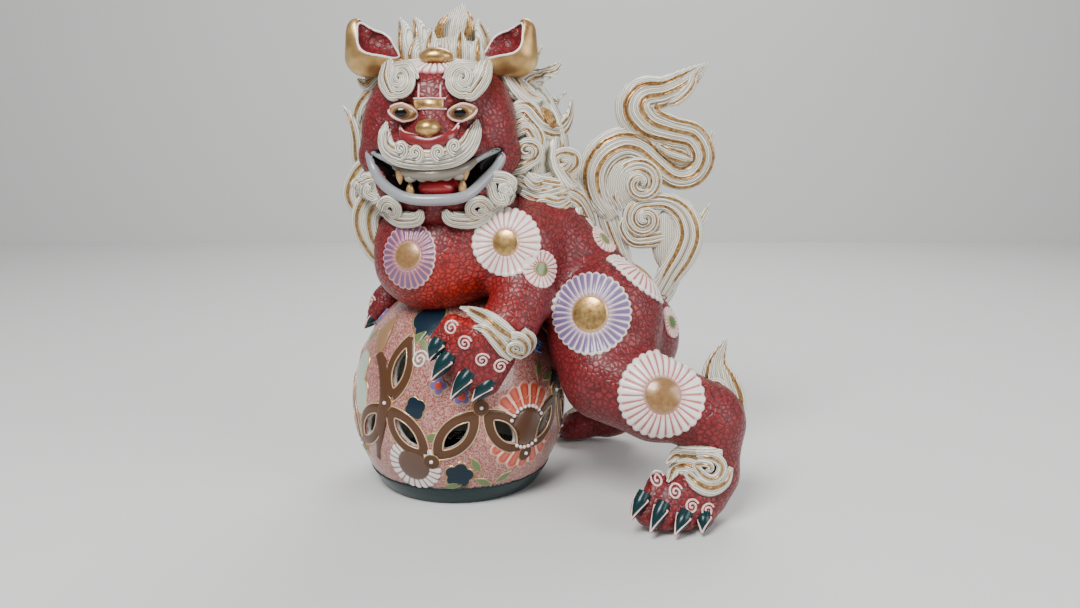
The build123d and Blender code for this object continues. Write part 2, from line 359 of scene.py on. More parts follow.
def coil(centre, u, v, radius, turns, start, hand, width, n=40):
    """Knots (x, y, z, half width) that wind in to a snail's middle in the plane of u and v."""
    centre, u, v = vec(*centre), unit(u), unit(v)
    share = np.linspace(0, 1, n)
    angle = math.radians(start) + hand * share * turns * 2 * math.pi
    r = radius * (1 - share) ** 0.85
    p = centre + (r * np.cos(angle))[:, None] * u + (r * np.sin(angle))[:, None] * v
    return np.hstack([p, (width * (1 - 0.62 * share))[:, None]])


PATCH_SINK = 1.5  # how deep the underside of a patch lies in the form below


def patch(heap, f, centre, way, up, outline, paint, inner=None, rise=0.8, rings=10, around=96, height=None,
          holes=None):
    """A star-shaped piece of relief laid on f, seen along way.

    outline and inner are radii, or functions of the angle (degrees from the right, anticlockwise as seen).
    paint is a function of (share from inner to outer, angle) that returns colours and gilding; height
    likewise returns the rise. holes is a distance field inside which the relief is left out.
    """
    centre, way, up = vec(*centre), unit(way), vec(*up)
    right = unit(np.cross(way, up))
    up = np.cross(right, way)
    angle = np.linspace(0, 2 * math.pi, around, endpoint=False)

    def radii(edge):
        return edge(np.degrees(angle)) if callable(edge) else np.full(around, float(edge))

    far, near = radii(outline), radii(0.02 if inner is None else inner)
    share = np.linspace(0, 1, rings)
    r = near[None, :] + (far - near)[None, :] * share[:, None]
    flat = centre + (r * np.cos(angle))[:, :, None] * right + (r * np.sin(angle))[:, :, None] * up
    seat = drop(f, flat.reshape(-1, 3), way)
    on_form = (np.abs(f(seat)) < 0.6).reshape(rings, around)
    seat = seat.reshape(rings, around, 3)
    for k in range(1, rings):  # where the form ends or falls away, the rest of the patch stops there
        leap = np.linalg.norm(seat[k] - seat[k - 1], axis=1)
        off = ~on_form[k] | (leap > 3.5 * (r[k] - r[k - 1]) + 1)
        seat[k][off] = seat[k - 1][off]
    seat = seat.reshape(-1, 3)
    out = unit(gradient(f, seat))
    grid_share, grid_angle = np.repeat(share, around), np.tile(np.degrees(angle), rings)
    bump = height(grid_share, grid_angle) if height else rise * np.ones(len(seat))
    inset = 1 - grid_share if inner is None else np.minimum(grid_share, 1 - grid_share)
    border = np.minimum(1, inset * (rings - 1) / 1.5 + 0.35)  # the relief rounds off over its last rings
    top = seat + out * (bump * border)[:, None]
    faces = tube_faces(rings, around)[:, ::-1]
    n = len(top)
    bottom = seat - out * PATCH_SINK
    rim = np.arange(around)
    nxt = (rim + 1) % around
    last = (rings - 1) * around
    sides = [np.stack([last + rim, last + nxt, n + last + nxt, n + last + rim], 1)[:, ::-1]]
    if inner is not None:
        sides.append(np.stack([nxt, rim, n + rim, n + nxt], 1)[:, ::-1])
    rgb, gold = paint(grid_share, grid_angle)
    faces = [faces, faces[:, ::-1] + n] + sides
    if holes is not None:
        gone = np.tile(holes(seat) < 0, 2)
        faces = [quad[~gone[quad].any(1)] for quad in faces]
    heap.add(np.vstack([top, bottom]), faces, paint=np.vstack([rgb, rgb]), gold=np.concatenate([gold, gold]))


# Materials --------------------------------------------------------------------------------------------
def material(name):
    """A new material: (material, its node tree, its principled shader)."""
    m = bpy.data.materials.new(name)
    m.use_nodes = True
    tree = m.node_tree
    tree.nodes.clear()
    out = tree.nodes.new("ShaderNodeOutputMaterial")
    shader = tree.nodes.new("ShaderNodeBsdfPrincipled")
    tree.links.new(shader.outputs[0], out.inputs[0])
    return m, tree, shader


def node(tree, kind, inputs=(), **props):
    """A shader node; inputs maps sockets to values or to other nodes' outputs."""
    n = tree.nodes.new(kind)
    for key, value in props.items():
        setattr(n, key, value)
    for key, value in dict(inputs).items():
        if isinstance(value, bpy.types.NodeSocket):
            tree.links.new(value, n.inputs[key])
        else:
            n.inputs[key].default_value = value
    return n


def maths(tree, op, a, b=0.0, c=0.0, clamp=False):
    return node(tree, "ShaderNodeMath", {0: a, 1: b, 2: c}, operation=op, use_clamp=clamp).outputs[0]


def mixed(tree, share, a, b):
    n = node(tree, "ShaderNodeMix", data_type="RGBA")
    for socket, value in ((n.inputs[0], share), (n.inputs[6], a), (n.inputs[7], b)):
        if isinstance(value, bpy.types.NodeSocket):
            tree.links.new(value, socket)
        else:
            socket.default_value = value
    return n.outputs[2]


def attribute(tree, name, colour=False):
    """A value, or a colour, painted on the mesh's vertices."""
    n = node(tree, "ShaderNodeAttribute", attribute_name=name)
    return n.outputs["Color" if colour else "Fac"]


def ramp(tree, value, *stops):
    """Colours by value through (place, colour) stops."""
    n = node(tree, "ShaderNodeValToRGB", {0: value})
    e = n.color_ramp.elements
    while len(e) < len(stops):
        e.new(0.5)
    for element, (place, colour) in zip(e, stops):
        element.position = place
        element.color = (*colour, 1)
    return n.outputs[0]


def place(tree):
    """Object coordinates in millimetres."""
    coordinates = node(tree, "ShaderNodeTexCoord").outputs["Object"]
    return node(tree, "ShaderNodeVectorMath", {0: coordinates, "Scale": 1 / MM}, operation="SCALE").outputs[0]


def noise(tree, where, scale, detail=3.0, rough=0.55):
    return node(
        tree, "ShaderNodeTexNoise", {"Vector": where, "Scale": scale, "Detail": detail, "Roughness": rough}
    ).outputs[0]


def bump(tree, shader, height, strength, distance):
    n = node(tree, "ShaderNodeBump", {"Strength": strength, "Distance": distance, "Height": height})
    tree.links.new(n.outputs[0], shader.inputs["Normal"])


def link(tree, a, b):
    tree.links.new(a, b)


def gloss(shader, rough, coat):
    shader.inputs["Roughness"].default_value = rough
    shader.inputs["Coat Weight"].default_value = coat
    shader.inputs["Coat Roughness"].default_value = 0.12


GOLD = (0.66, 0.42, 0.15)
BROWN = (0.20, 0.095, 0.035)
CREAM = (0.80, 0.77, 0.67)


def skin_material():
    """Crackled red pebbles with dark seams; the value tone turns them to the chest's bright red."""
    m, tree, shader = material("red_pebbled_glaze")
    where = place(tree)
    warp = node(tree, "ShaderNodeTexNoise", {"Vector": where, "Scale": 0.16, "Detail": 2.0}).outputs["Color"]
    shift = node(tree, "ShaderNodeVectorMath", {0: warp, "Scale": 3.2}, operation="SCALE").outputs[0]
    warped = node(tree, "ShaderNodeVectorMath", {0: where, 1: shift}, operation="ADD").outputs[0]
    cells = node(
        tree, "ShaderNodeTexVoronoi", {"Vector": warped, "Scale": 0.235}, feature="DISTANCE_TO_EDGE"
    ).outputs["Distance"]
    centres = node(tree, "ShaderNodeTexVoronoi", {"Vector": warped, "Scale": 0.235}).outputs["Color"]
    height = maths(tree, "SMOOTH_MIN", cells, 0.22, 0.12)
    face = ramp(
        tree, cells, (0.0, (0.020, 0.002, 0.003)), (0.06, (0.070, 0.005, 0.007)),
        (0.16, (0.150, 0.009, 0.013)), (0.36, (0.205, 0.018, 0.021)),
    )
    pale = maths(tree, "MULTIPLY", node(tree, "ShaderNodeSeparateColor", {0: centres}).outputs[0], 0.22)
    face = mixed(tree, pale, face, (0.27, 0.036, 0.038, 1))
    broad = noise(tree, where, 0.022)
    face = mixed(tree, maths(tree, "MULTIPLY", broad, 0.32), face, (0.20, 0.014, 0.016, 1))
    chest = attribute(tree, "tone")
    glow = ramp(
        tree, cells, (0.0, (0.10, 0.003, 0.003)), (0.06, (0.24, 0.008, 0.006)), (0.3, (0.46, 0.028, 0.014))
    )
    face = mixed(tree, chest, face, glow)
    link(tree, face, shader.inputs["Base Color"])
    rough = ramp(tree, cells, (0.0, (0.5, 0.5, 0.5)), (0.12, (0.34, 0.34, 0.34)))
    link(tree, rough, shader.inputs["Roughness"])
    shader.inputs["Coat Weight"].default_value = 0.10
    shader.inputs["Specular IOR Level"].default_value = 0.34
    shader.inputs["Coat Roughness"].default_value = 0.26
    fine = maths(tree, "MULTIPLY", noise(tree, where, 0.9), 0.05)
    bump(tree, shader, maths(tree, "ADD", height, fine), 0.8, 0.0020)
    return m


def fur_material():
    """Combed cream glaze with brown in its grooves and worn gilt stripes."""
    m, tree, shader = material("combed_white_glaze")
    where = place(tree)
    across, gold, deep = attribute(tree, "across"), attribute(tree, "gold"), attribute(tree, "deep")
    sway = maths(tree, "MULTIPLY", noise(tree, where, 0.08), 2.4)
    lane = maths(tree, "MULTIPLY", maths(tree, "ADD", across, sway), 2 * math.pi / 1.55)
    comb = maths(tree, "MULTIPLY_ADD", maths(tree, "SINE", lane), 0.5, 0.5)
    comb = maths(tree, "POWER", comb, 0.7)
    shade = ramp(tree, comb, (0.0, (0.15, 0.13, 0.08)), (0.28, (0.46, 0.43, 0.33)), (0.66, CREAM))
    shade = mixed(tree, maths(tree, "MULTIPLY", deep, 0.95), shade, (0.17, 0.115, 0.050, 1))
    blot = noise(tree, where, 0.05)
    shade = mixed(tree, maths(tree, "MULTIPLY", blot, 0.25), shade, (0.70, 0.69, 0.60, 1))
    wear = noise(tree, where, 0.35)
    gilt = ramp(tree, wear, (0.34, BROWN), (0.70, (0.58, 0.35, 0.12)))
    edge = maths(tree, "MULTIPLY", maths(tree, "SUBTRACT", gold, 0.25), 4.0, clamp=True)
    link(tree, mixed(tree, edge, shade, gilt), shader.inputs["Base Color"])
    link(tree, maths(tree, "MULTIPLY", edge, 0.75), shader.inputs["Metallic"])
    shader.inputs["Roughness"].default_value = 0.36
    shader.inputs["Coat Weight"].default_value = 0.25
    shader.inputs["Coat Roughness"].default_value = 0.2
    bump(tree, shader, comb, 0.55, 0.0007)
    return m


def paint_material(name="overglaze_enamel", rough=0.3, coat=0.4, soil=0.14):
    """Painted and gilt enamels; soil is how much brown mottling shows in the paint."""
    m, tree, shader = material(name)
    where = place(tree)
    paint, gold = attribute(tree, "paint", True), attribute(tree, "gold")
    wear = noise(tree, where, 0.28)
    gilt = ramp(tree, wear, (0.3, (0.30, 0.15, 0.05)), (0.65, GOLD))
    tint = mixed(tree, maths(tree, "MULTIPLY", noise(tree, where, 0.5), soil), paint, (0.12, 0.05, 0.04, 1))
    link(tree, mixed(tree, gold, tint, gilt), shader.inputs["Base Color"])
    link(tree, maths(tree, "MULTIPLY", gold, 0.8), shader.inputs["Metallic"])
    gloss(shader, rough, coat)
    shader.inputs["Specular IOR Level"].default_value = 0.2 + 0.75 * coat
    bump(tree, shader, noise(tree, where, 0.7), 0.18, 0.0004)
    return m


def gilt_material():
    """Satin gold that clouds to brown."""
    m, tree, shader = material("satin_gilding")
    where = place(tree)
    broad = noise(tree, where, 0.035)
    fine = noise(tree, where, 0.6)
    colour = ramp(tree, broad, (0.3, (0.23, 0.12, 0.045)), (0.5, (0.52, 0.33, 0.13)),
                  (0.68, (0.74, 0.55, 0.27)))
    link(tree, colour, shader.inputs["Base Color"])
    shader.inputs["Metallic"].default_value = 0.7
    link(tree, ramp(tree, fine, (0.3, (0.3, 0.3, 0.3)), (0.7, (0.42, 0.42, 0.42))),
         shader.inputs["Roughness"])
    bump(tree, shader, fine, 0.12, 0.0004)
    return m


def ball_material():
    """A pale ground of red dots and worm lines; the value cover hides it under plain paint."""
    m, tree, shader = material("dotted_pink_ground")
    where = place(tree)
    dots = node(tree, "ShaderNodeTexVoronoi", {"Vector": where, "Scale": 0.72}).outputs["Distance"]
    worm = noise(tree, where, 0.55, 1.0)
    ground = ramp(
        tree, dots, (0.0, (0.22, 0.030, 0.026)), (0.36, (0.22, 0.038, 0.032)), (0.52, (0.48, 0.27, 0.22))
    )
    ground = mixed(tree, ramp(tree, worm, (0.44, (0, 0, 0)), (0.52, (0.5, 0.5, 0.5))), ground,
                   (0.27, 0.055, 0.055, 1))
    paint, cover = attribute(tree, "paint", True), attribute(tree, "cover")
    tint = mixed(tree, maths(tree, "MULTIPLY", noise(tree, where, 0.06), 0.3), paint, (0.45, 0.50, 0.40, 1))
    link(tree, mixed(tree, cover, ground, tint), shader.inputs["Base Color"])
    gloss(shader, 0.3, 0.5)
    bump(tree, shader, dots, 0.25, 0.0004)
    return m


# Finishes: a material and the slot it stands for
SKIN = (skin_material(), "red_scale_glaze")
FUR = (fur_material(), "white_fur_glaze")
GILT = (gilt_material(), "gilding")
GROUND = (ball_material(), "enamelled_white")
ENAMEL = paint_material()
RELIEF = (ENAMEL, "enamelled_white")
GILT_RELIEF = (ENAMEL, "gilding")
LIP = (ENAMEL, "lip_glaze")
EYE = (paint_material("wet_eye_glaze", 0.05, coat=0.15, soil=0.03), "eye_glaze")
DARK = paint_material("dark_bottle_glaze", 0.24, coat=0.08, soil=0.03)
NAIL = (DARK, "claw_green_glaze")
DEEP_GREEN = (DARK, "dark_green_glaze")

# The red body -----------------------------------------------------------------------------------------
BALL_R, BALL_H, BALL_Z = 89.4, 103.0, 70.6  # the ball's radius, half height and centre height
FACE_X = -9.5  # the face's middle


def ball_inset(depth):
    """The egg that lies this deep inside the ball's outside."""
    return egg((0, 0, BALL_Z), (BALL_R - depth, BALL_R - depth, BALL_H - depth))


ball_form = ball_inset(0)

torso_form = union(
    16,
    rod((-2, -10, 240, 38), (0, -14, 204, 42), (66, 0, 206, 45), (142, 0, 124, 46)),
    egg((-14, -30, 192), (50, 42, 39)),
    egg((-8, -16, 214), (56, 40, 34)),
)
left_fore_form = union(
    9,
    egg((52, -40, 202), (35, 27, 38), ("y", -14)),
    rod((56, -52, 170, 26), (46, -72, 150, 21), (26, -80, 141, 19)),
    rod((2, -76, 150, 9), (-9, -78, 136, 8.2)),
    rod((14, -83, 141, 9.5), (-1, -86, 124, 8.6)),
    rod((28, -86, 131, 10), (14, -91, 111, 8.8)),
    rod((40, -84, 125, 10), (30, -90, 107, 8.8)),
)
right_fore_form = union(
    9,
    rod((30, 34, 200, 30), (-10, 54, 182, 23), (-50, 44, 163, 17), (-64, 30, 150, 13)),
    rod((-66, 26, 152, 8), (-74, 22, 140, 7)),
    rod((-66, 34, 148, 8), (-76, 33, 134, 7)),
    rod((-60, 42, 147, 8), (-70, 44, 132, 7)),
)
left_haunch_form = union(
    14,
    egg((122, -42, 142), (46, 38, 54), ("y", 18)),
    rod((122, -62, 106, 36), (160, -80, 92, 32), (198, -86, 82, 26)),
    rod((204, -88, 72, 23), (203, -92, 36, 20), (196, -96, 22, 20)),
    rod((180, -104, 24, 17), (168, -110, 20, 12)),
)
left_toes_form = union(
    5,
    rod((160, -108, 32, 9.5), (150, -119, 14, 9)),
    rod((172, -112, 27, 10), (163, -122, 11.5, 9.5)),
    rod((185, -112, 20, 10), (178, -121, 11, 9.5)),
    rod((197, -108, 18, 10), (193, -116, 11, 9)),
)
left_hind_form = union(7, left_haunch_form, left_toes_form)
right_hind_form = union(
    14,
    egg((118, 42, 138), (44, 36, 52), ("y", 18)),
    rod((104, 60, 100, 33), (150, 78, 74, 27)),
    rod((152, 80, 64, 22), (146, 86, 30, 20)),
    rod((130, 90, 22, 18), (112, 92, 17, 14)),
    rod((106, 84, 16, 9), (97, 82, 12, 8.5)),
    rod((104, 96, 16, 9.5), (94, 97, 12, 9)),
    rod((108, 106, 14, 9), (101, 110, 11, 8)),
)


# The head: skull, muzzle, jaw, with sockets and an open mouth
skull_form = union(
    12,
    egg((FACE_X, -16, 312), (58, 44, 44)),
    egg((FACE_X - 34, -34, 294), (27, 26, 34)),
    egg((FACE_X + 34, -34, 294), (27, 26, 34)),
    egg((FACE_X, -52, 322), (36, 22, 22)),
    egg((FACE_X, -66, 300), (17, 17, 20)),
    egg((FACE_X, -66, 287), (38, 17, 13)),
)
sockets = union(2, egg((FACE_X - 22, -77, 311), (12, 10, 9)), egg((FACE_X + 22, -77, 311), (12, 10, 9)))
mouth_form = union(
    5,
    egg((FACE_X, -62, 263), (40, 26, 15)),
    rod((FACE_X - 30, -60, 266, 10), (FACE_X - 45, -52, 277, 6)),
    rod((FACE_X + 30, -60, 266, 10), (FACE_X + 45, -52, 279, 6)),
)
jaw_form = union(
    9,
    egg((FACE_X, -40, 252), (46, 34, 18)),
    egg((FACE_X, -46, 240), (30, 22, 17)),
    rod((FACE_X - 52, -32, 276, 12), (FACE_X - 36, -44, 256, 13)),
    rod((FACE_X + 52, -32, 278, 12), (FACE_X + 36, -44, 257, 13)),
)
solid_head = union(10, skull_form, jaw_form)
head_form = without(without(solid_head, 4, mouth_form), 3, sockets)

BODY = {
    "torso_shell": torso_form,
    "left_foreleg": left_fore_form,
    "right_foreleg": right_fore_form,
    "left_hind_leg": left_hind_form,
    "right_hind_leg": right_hind_form,
}
whole_body = union(10, *BODY.values())
SKIN_DIP, SKIN_OVERLAP, BALL_GAP = 0.16, 5, 1.0
BOXES = {
    "torso_shell": ((-72, -78, 68), (196, 56, 284)),
    "left_foreleg": ((-24, -106, 92), (96, -4, 246)),
    "right_foreleg": ((-90, 0, 118), (72, 84, 236)),
    "left_hind_leg": ((70, -136, -2), (236, 6, 204)),
    "right_hind_leg": ((62, -4, -2), (190, 122, 200)),
}


def own_part(name):
    """The share of the fused skin that belongs to one piece; past its border it dips below its neighbour."""
    mine, others = BODY[name], [g for k, g in BODY.items() if k != name]

    def f(p):
        past = mine(p) - np.min([g(p) for g in others], axis=0)
        skin = np.maximum(whole_body(p) + SKIN_DIP * np.maximum(past, 0), past - SKIN_OVERLAP)
        return np.maximum(np.maximum(skin, -p[:, 2]), BALL_GAP - ball_form(p))

    return f


def skin_tone(v):
    """The chest's lower half and the belly side are a brighter, more orange red."""
    near = np.exp(-1.1 * (((v[:, 0] + 4) / 42) ** 2 + ((v[:, 2] - 172) / 30) ** 2))
    return np.clip(1.15 * near * smoothstep(20, -30, v[:, 1]), 0, 1)


for name, (a, b) in BOXES.items():
    v, q = net(own_part(name), a, b, mesh_step(2.2))
    Heap().add(v, [q], tone=skin_tone(v)).make(name + "_skin", SKIN, name)

v, q = net(head_form, (-80, -92, 222), (62, 32, 362), mesh_step(1.6))
Heap().add(v, [q], tone=0.0).make("head_skin", SKIN, "head_shell")

# Laying things on forms -------------------------------------------------------------------------------
FRONT = vec(0, 1, 0)  # the way one looks at the face
BACK = -FRONT
UP = vec(0, 0, 1)


def lay(form, knots, way=FRONT, lift=0.0):
    """(x, y, z, half width) knots pushed along way onto a form: (knots, outward normals)."""
    k = np.array(knots, float)
    seat = drop(form, k[:, :3], way)
    out = unit(gradient(form, seat))
    k[:, :3] = seat + out * lift
    return k, out


def front(points):
    """(x, z, half width) knots as (x, y, z, half width) at y = 0."""
    p = np.array(points, float)
    return np.stack([p[:, 0], 0 * p[:, 0], p[:, 1], p[:, 2]], 1)


def lock(heap, form, points, way=FRONT, lift=2.0, **style):
    """A ribbon along flat (x, z, half width) knots laid on a form, facing half out, half to the viewer."""
    k, out = lay(form, front(points), way, lift)
    ribbon(heap, k, unit(out * 0.65 - unit(way) * 0.35), **style)


def curl(heap, form, points, middle, radius, turns, start, hand, width, way=FRONT, lift=2.0, rise=4.0,
         flat=False, **style):
    """A lock that ends in a snail: its stem knots, then the coil about middle (x, z).

    A flat coil keeps the depth its middle has on the form; any other follows the form.
    """
    flat_coil = coil((middle[0], 0, middle[1]), (1, 0, 0), UP, radius, turns, start, hand, width, 34)
    stem = front(points) if len(points) else np.empty((0, 4))
    knots = np.vstack([stem, flat_coil])
    k, out = lay(form, knots, way, lift)
    if flat:
        hub, facing = lay(form, front([(*middle, width)]), way, lift)
        k[len(stem):, 1], out[len(stem):] = hub[0, 1], facing[0] * 0.3 - unit(way) * 0.7
    climb = np.concatenate([np.zeros(len(stem)), rise * np.linspace(0, 1, len(flat_coil)) ** 0.8])
    normal = unit(out * 0.6 - unit(way) * 0.4)
    k[:, :3] += normal * climb[:, None]
    ribbon(heap, k, normal, **style)


def strands(v):
    """The combing of a mass that has no ribbons of its own: lanes that run down and back from the crown."""
    return 14 * np.arctan2(v[:, 1] - 6, v[:, 0] - FACE_X) + 0.02 * v[:, 2]


def upright(v):
    """Combing in upright lanes."""
    return v[:, 0]


def mass(heap, form, low, high, step, deep=0.25, lanes=strands):
    """The solid mass of fur below the locks."""
    v, q = net(form, low, high, step)
    return heap.add(v, [q], across=lanes(v), gold=0.0, deep=deep)


def pipe(heap, knots, colour, gold=0.0, around=12, step=0.9):
    """A painted round line through (x, y, z, radius) knots."""
    c, s = spline(knots, step)
    p, r = c[:, :3], c[:, 3]
    t = unit(np.gradient(p, axis=0))
    n = unit(np.cross(t, vec(0.31, 0.2, 0.93)))
    b = np.cross(t, n)
    phi = np.linspace(0, 2 * math.pi, around, endpoint=False)
    v = p[:, None] + r[:, None, None] * (
        np.cos(phi)[None, :, None] * n[:, None] + np.sin(phi)[None, :, None] * b[:, None]
    )
    heap.add(
        v.reshape(-1, 3), [tube_faces(len(p), around)] + caps(len(p), around),
        paint=np.array(colour, float), gold=float(gold),
    )


def dome(heap, centre, radii, way, colours, rows=40, around=64):
    """An egg-shaped bead; colours is a function of (unit directions, degrees off the facing way)."""
    a = np.linspace(0, math.pi, rows)
    way = unit(way)
    side = unit(np.cross(way, vec(0.1, 0.2, 1)))
    top = np.cross(side, way)
    phi = np.linspace(0, 2 * math.pi, around, endpoint=False)
    d = (
        np.cos(a)[:, None, None] * way
        + np.sin(a)[:, None, None] * (np.cos(phi)[None, :, None] * side + np.sin(phi)[None, :, None] * top)
    ).reshape(-1, 3)
    off = np.degrees(np.repeat(a, around))
    rgb, gold = colours(d, off)
    heap.add(d * vec(*radii) + vec(*centre), [tube_faces(rows, around)[:, ::-1]], paint=rgb, gold=gold)


def plain(colour, gold=0.0):
    """One colour all over a dome."""
    return lambda d, off: (np.tile(vec(*colour), (len(d), 1)), np.full(len(d), float(gold)))


PINK = (0.80, 0.52, 0.48)
WHITE = (0.84, 0.82, 0.78)
CRIMSON = (0.18, 0.010, 0.014)
GREY = (0.28, 0.29, 0.31)
TEAL = (0.003, 0.026, 0.030)
NAVY = (0.003, 0.016, 0.030)
LEAF = (0.10, 0.17, 0.05)
LILAC = (0.12, 0.09, 0.26)
CORAL = (0.52, 0.040, 0.018)
CELADON = (0.42, 0.52, 0.40)
BLUE = (0.10, 0.16, 0.42)
BRONZE = (0.085, 0.036, 0.016)
PALE_GOLD = (0.74, 0.56, 0.40)

# The mane's mass --------------------------------------------------------------------------------------
mane_form = union(
    14,
    egg((FACE_X + 4, 12, 314), (62, 40, 56)),
    egg((6, 30, 276), (60, 36, 62)),
    egg((58, 10, 270), (28, 34, 62)),
    egg((78, 2, 232), (24, 26, 34)),
    egg((-62, 8, 268), (15, 26, 60)),
    egg((FACE_X + 4, 2, 354), (34, 24, 16)),
)
mane_left_form = union(12, egg((62, 8, 280), (26, 30, 58)), egg((82, -4, 232), (20, 22, 34)))
mane_right_form = union(10, egg((-68, 6, 270), (13, 22, 56)))


MANE_STEP = mesh_step(2.4)
mass(Heap(), mane_form, (-92, -52, 196), (116, 84, 376), MANE_STEP).make("mane_back_mass", FUR, "mane_back")

# Crown ------------------------------------------------------------------------------------------------
crown = Heap()
ribbon(crown, [(4, 4, 348, 15), (3, 2, 362, 19), (3, 0, 374, 18), (5, 0, 385, 11), (8, 2, 397, 0.8)],
       (0, -1, 0.1), ridges=7, depth=0.34, thick=0.36, gold=(), step=0.8, around=64)
for knots in (
    [(-7, -8, 362, 1.0), (-11, -9, 371, 3.6), (-9, -9, 380, 3.0), (-3, -7, 389, 0.6)],
    [(8, -9, 366, 1.0), (13, -9, 376, 3.4), (14, -8, 384, 2.4), (11, -6, 391, 0.6)],
):
    ribbon(crown, knots, (0, -1, 0.2), ridges=1, depth=0, thick=0.35, gold=(0.5,), gold_width=0.9, step=0.7)
crown.make("crown_flame_lock", FUR, "crown_flame")

crown = Heap()
for knots in (
    [(-34, -18, 348, 8), (-37, -16, 360, 10), (-38, -12, 372, 9), (-42, -8, 385, 1.5)],
    [(-26, -14, 350, 8), (-25, -12, 364, 9), (-27, -10, 376, 7), (-31, -6, 386, 1.2)],
    [(-27, -32, 344, 6), (-29, -32, 356, 7.5), (-26, -28, 369, 1.0)],
    [(-14, -34, 346, 7), (-15, -34, 360, 8), (-14, -28, 374, 1.0)],
    [(7, -34, 346, 7), (7, -34, 360, 8), (8, -28, 374, 1.0)],
    [(20, -30, 346, 6), (20, -30, 357, 7), (22, -26, 369, 1.0)],
    [(20, -12, 350, 7), (25, -10, 364, 8), (22, -8, 376, 6), (20, -6, 384, 1.2)],
    [(30, -6, 346, 7), (37, -4, 360, 8), (44, -2, 370, 5), (52, 0, 376, 1.2)],
    [(-18, 16, 354, 8), (-24, 20, 368, 9), (-20, 20, 380, 1.5)],
    [(16, 18, 354, 8), (22, 22, 368, 9), (26, 22, 380, 1.5)],
    [(-2, 24, 356, 9), (-4, 28, 372, 10), (2, 30, 386, 1.5)],
    [(36, 14, 346, 8), (46, 16, 358, 8), (56, 16, 366, 1.5)],
    [(-40, 8, 348, 7), (-50, 10, 360, 7), (-58, 10, 370, 1.5)],
):
    x, y = knots[1][:2]
    outward = vec(x - 2, min(y - 6, -6) if y < 10 else y - 6, 14)
    ribbon(crown, knots, unit(outward), ridges=3, depth=0.4, thick=0.55, gold=(0.5,), gold_width=0.16,
           step=0.8)
crown.make("crown_locks", FUR, "mane_crown")

# Side and back locks of the mane ----------------------------------------------------------------------
locks = mass(Heap(), mane_left_form, (30, -32, 190), (108, 46, 344), MANE_STEP, deep=0.3)
side = dict(ridges=4, depth=0.34, gold=(0.25, 0.75), gold_width=0.07, thick=0.5)
for points in (
    [(46, 322, 6), (56, 334, 8), (68, 338, 8), (78, 343, 5), (85, 350, 1)],
    [(42, 336, 5), (50, 346, 7), (60, 352, 6), (70, 362, 1)],
    [(48, 310, 6), (58, 312, 9), (68, 300, 9), (80, 296, 8), (89, 305, 6), (93, 322, 1)],
    [(50, 296, 6), (60, 300, 7), (66, 290, 7), (66, 276, 5), (64, 262, 2)],
    [(54, 328, 5), (64, 320, 6), (76, 318, 5), (88, 326, 1)],
    [(52, 262, 6), (64, 256, 8), (76, 252, 8), (90, 250, 6), (98, 256, 1)],
    [(50, 219, 3), (58, 230, 7), (70, 240, 8), (84, 238, 7), (97, 246, 2)],
    [(56, 252, 6), (70, 246, 8), (86, 248, 7), (100, 240, 4), (106, 232, 1)],
    [(86, 248, 6), (98, 240, 8), (107, 222, 8.5), (109, 205, 7), (105, 190, 5), (100, 178, 1)],
):
    lock(locks, mane_form, points, lift=3.5, **side)
curl(locks, mane_form, [(58, 262, 4), (66, 255, 6)], (82, 270), 12.5, 1.6, -100, 1, 5.6, lift=7, rise=6,
     flat=True, ridges=4, depth=0.35, gold=(0.5,), gold_width=0.12)
curl(locks, mane_form, [(46, 266, 4), (54, 268, 5)], (59, 281), 8.5, 1.5, -60, 1, 4.4, lift=6, rise=5,
     flat=True, ridges=3, depth=0.35, gold=(0.34,), gold_width=0.12)
curl(locks, mane_form, [(74, 232, 4), (84, 228, 5)], (97, 216), 9, 1.6, 120, -1, 4.4, lift=7, flat=True,
     ridges=3, depth=0.35, gold=(0.5,), gold_width=0.12)
ribbon(locks, [(66, -16, 306, 1), (72, -20, 312, 4), (79, -19, 304, 4), (80, -16, 298, 1)], (0.2, -1, 0.2),
       ridges=1, depth=0, thick=0.4, gold=(0.5,), gold_width=0.9)
locks.make("mane_left_locks", FUR, "mane_left")

locks = mass(Heap(), mane_right_form, (-86, -24, 206), (-48, 34, 332), MANE_STEP, deep=0.3)
slim = dict(ridges=3, depth=0.36, gold=(0.5,), gold_width=0.12, thick=0.6)
for knots in (
    [(-66, -6, 286, 4), (-78, -8, 272, 5.5), (-80, -8, 292, 5), (-84, -6, 306, 3.5), (-91, -4, 317, 0.8)],
    [(-60, -4, 344, 5), (-70, -4, 334, 6), (-78, -4, 338, 1)],
    [(-66, -4, 330, 5), (-76, -4, 318, 6), (-80, -4, 306, 4), (-78, -4, 296, 1)],
    [(-68, -12, 276, 5), (-80, -12, 262, 7), (-86, -12, 246, 7), (-80, -12, 232, 5), (-72, -12, 224, 1)],
    [(-64, -16, 252, 5), (-76, -16, 236, 7), (-78, -16, 218, 7), (-70, -16, 200, 6), (-58, -18, 186, 4),
     (-52, -20, 178, 0.8)],
    [(-54, -24, 246, 5), (-66, -24, 232, 7), (-66, -24, 214, 7), (-58, -24, 200, 5), (-50, -24, 192, 1)],
):
    ribbon(locks, knots, (-0.45, -1, 0), **slim)
locks.make("mane_right_locks", FUR, "mane_right")

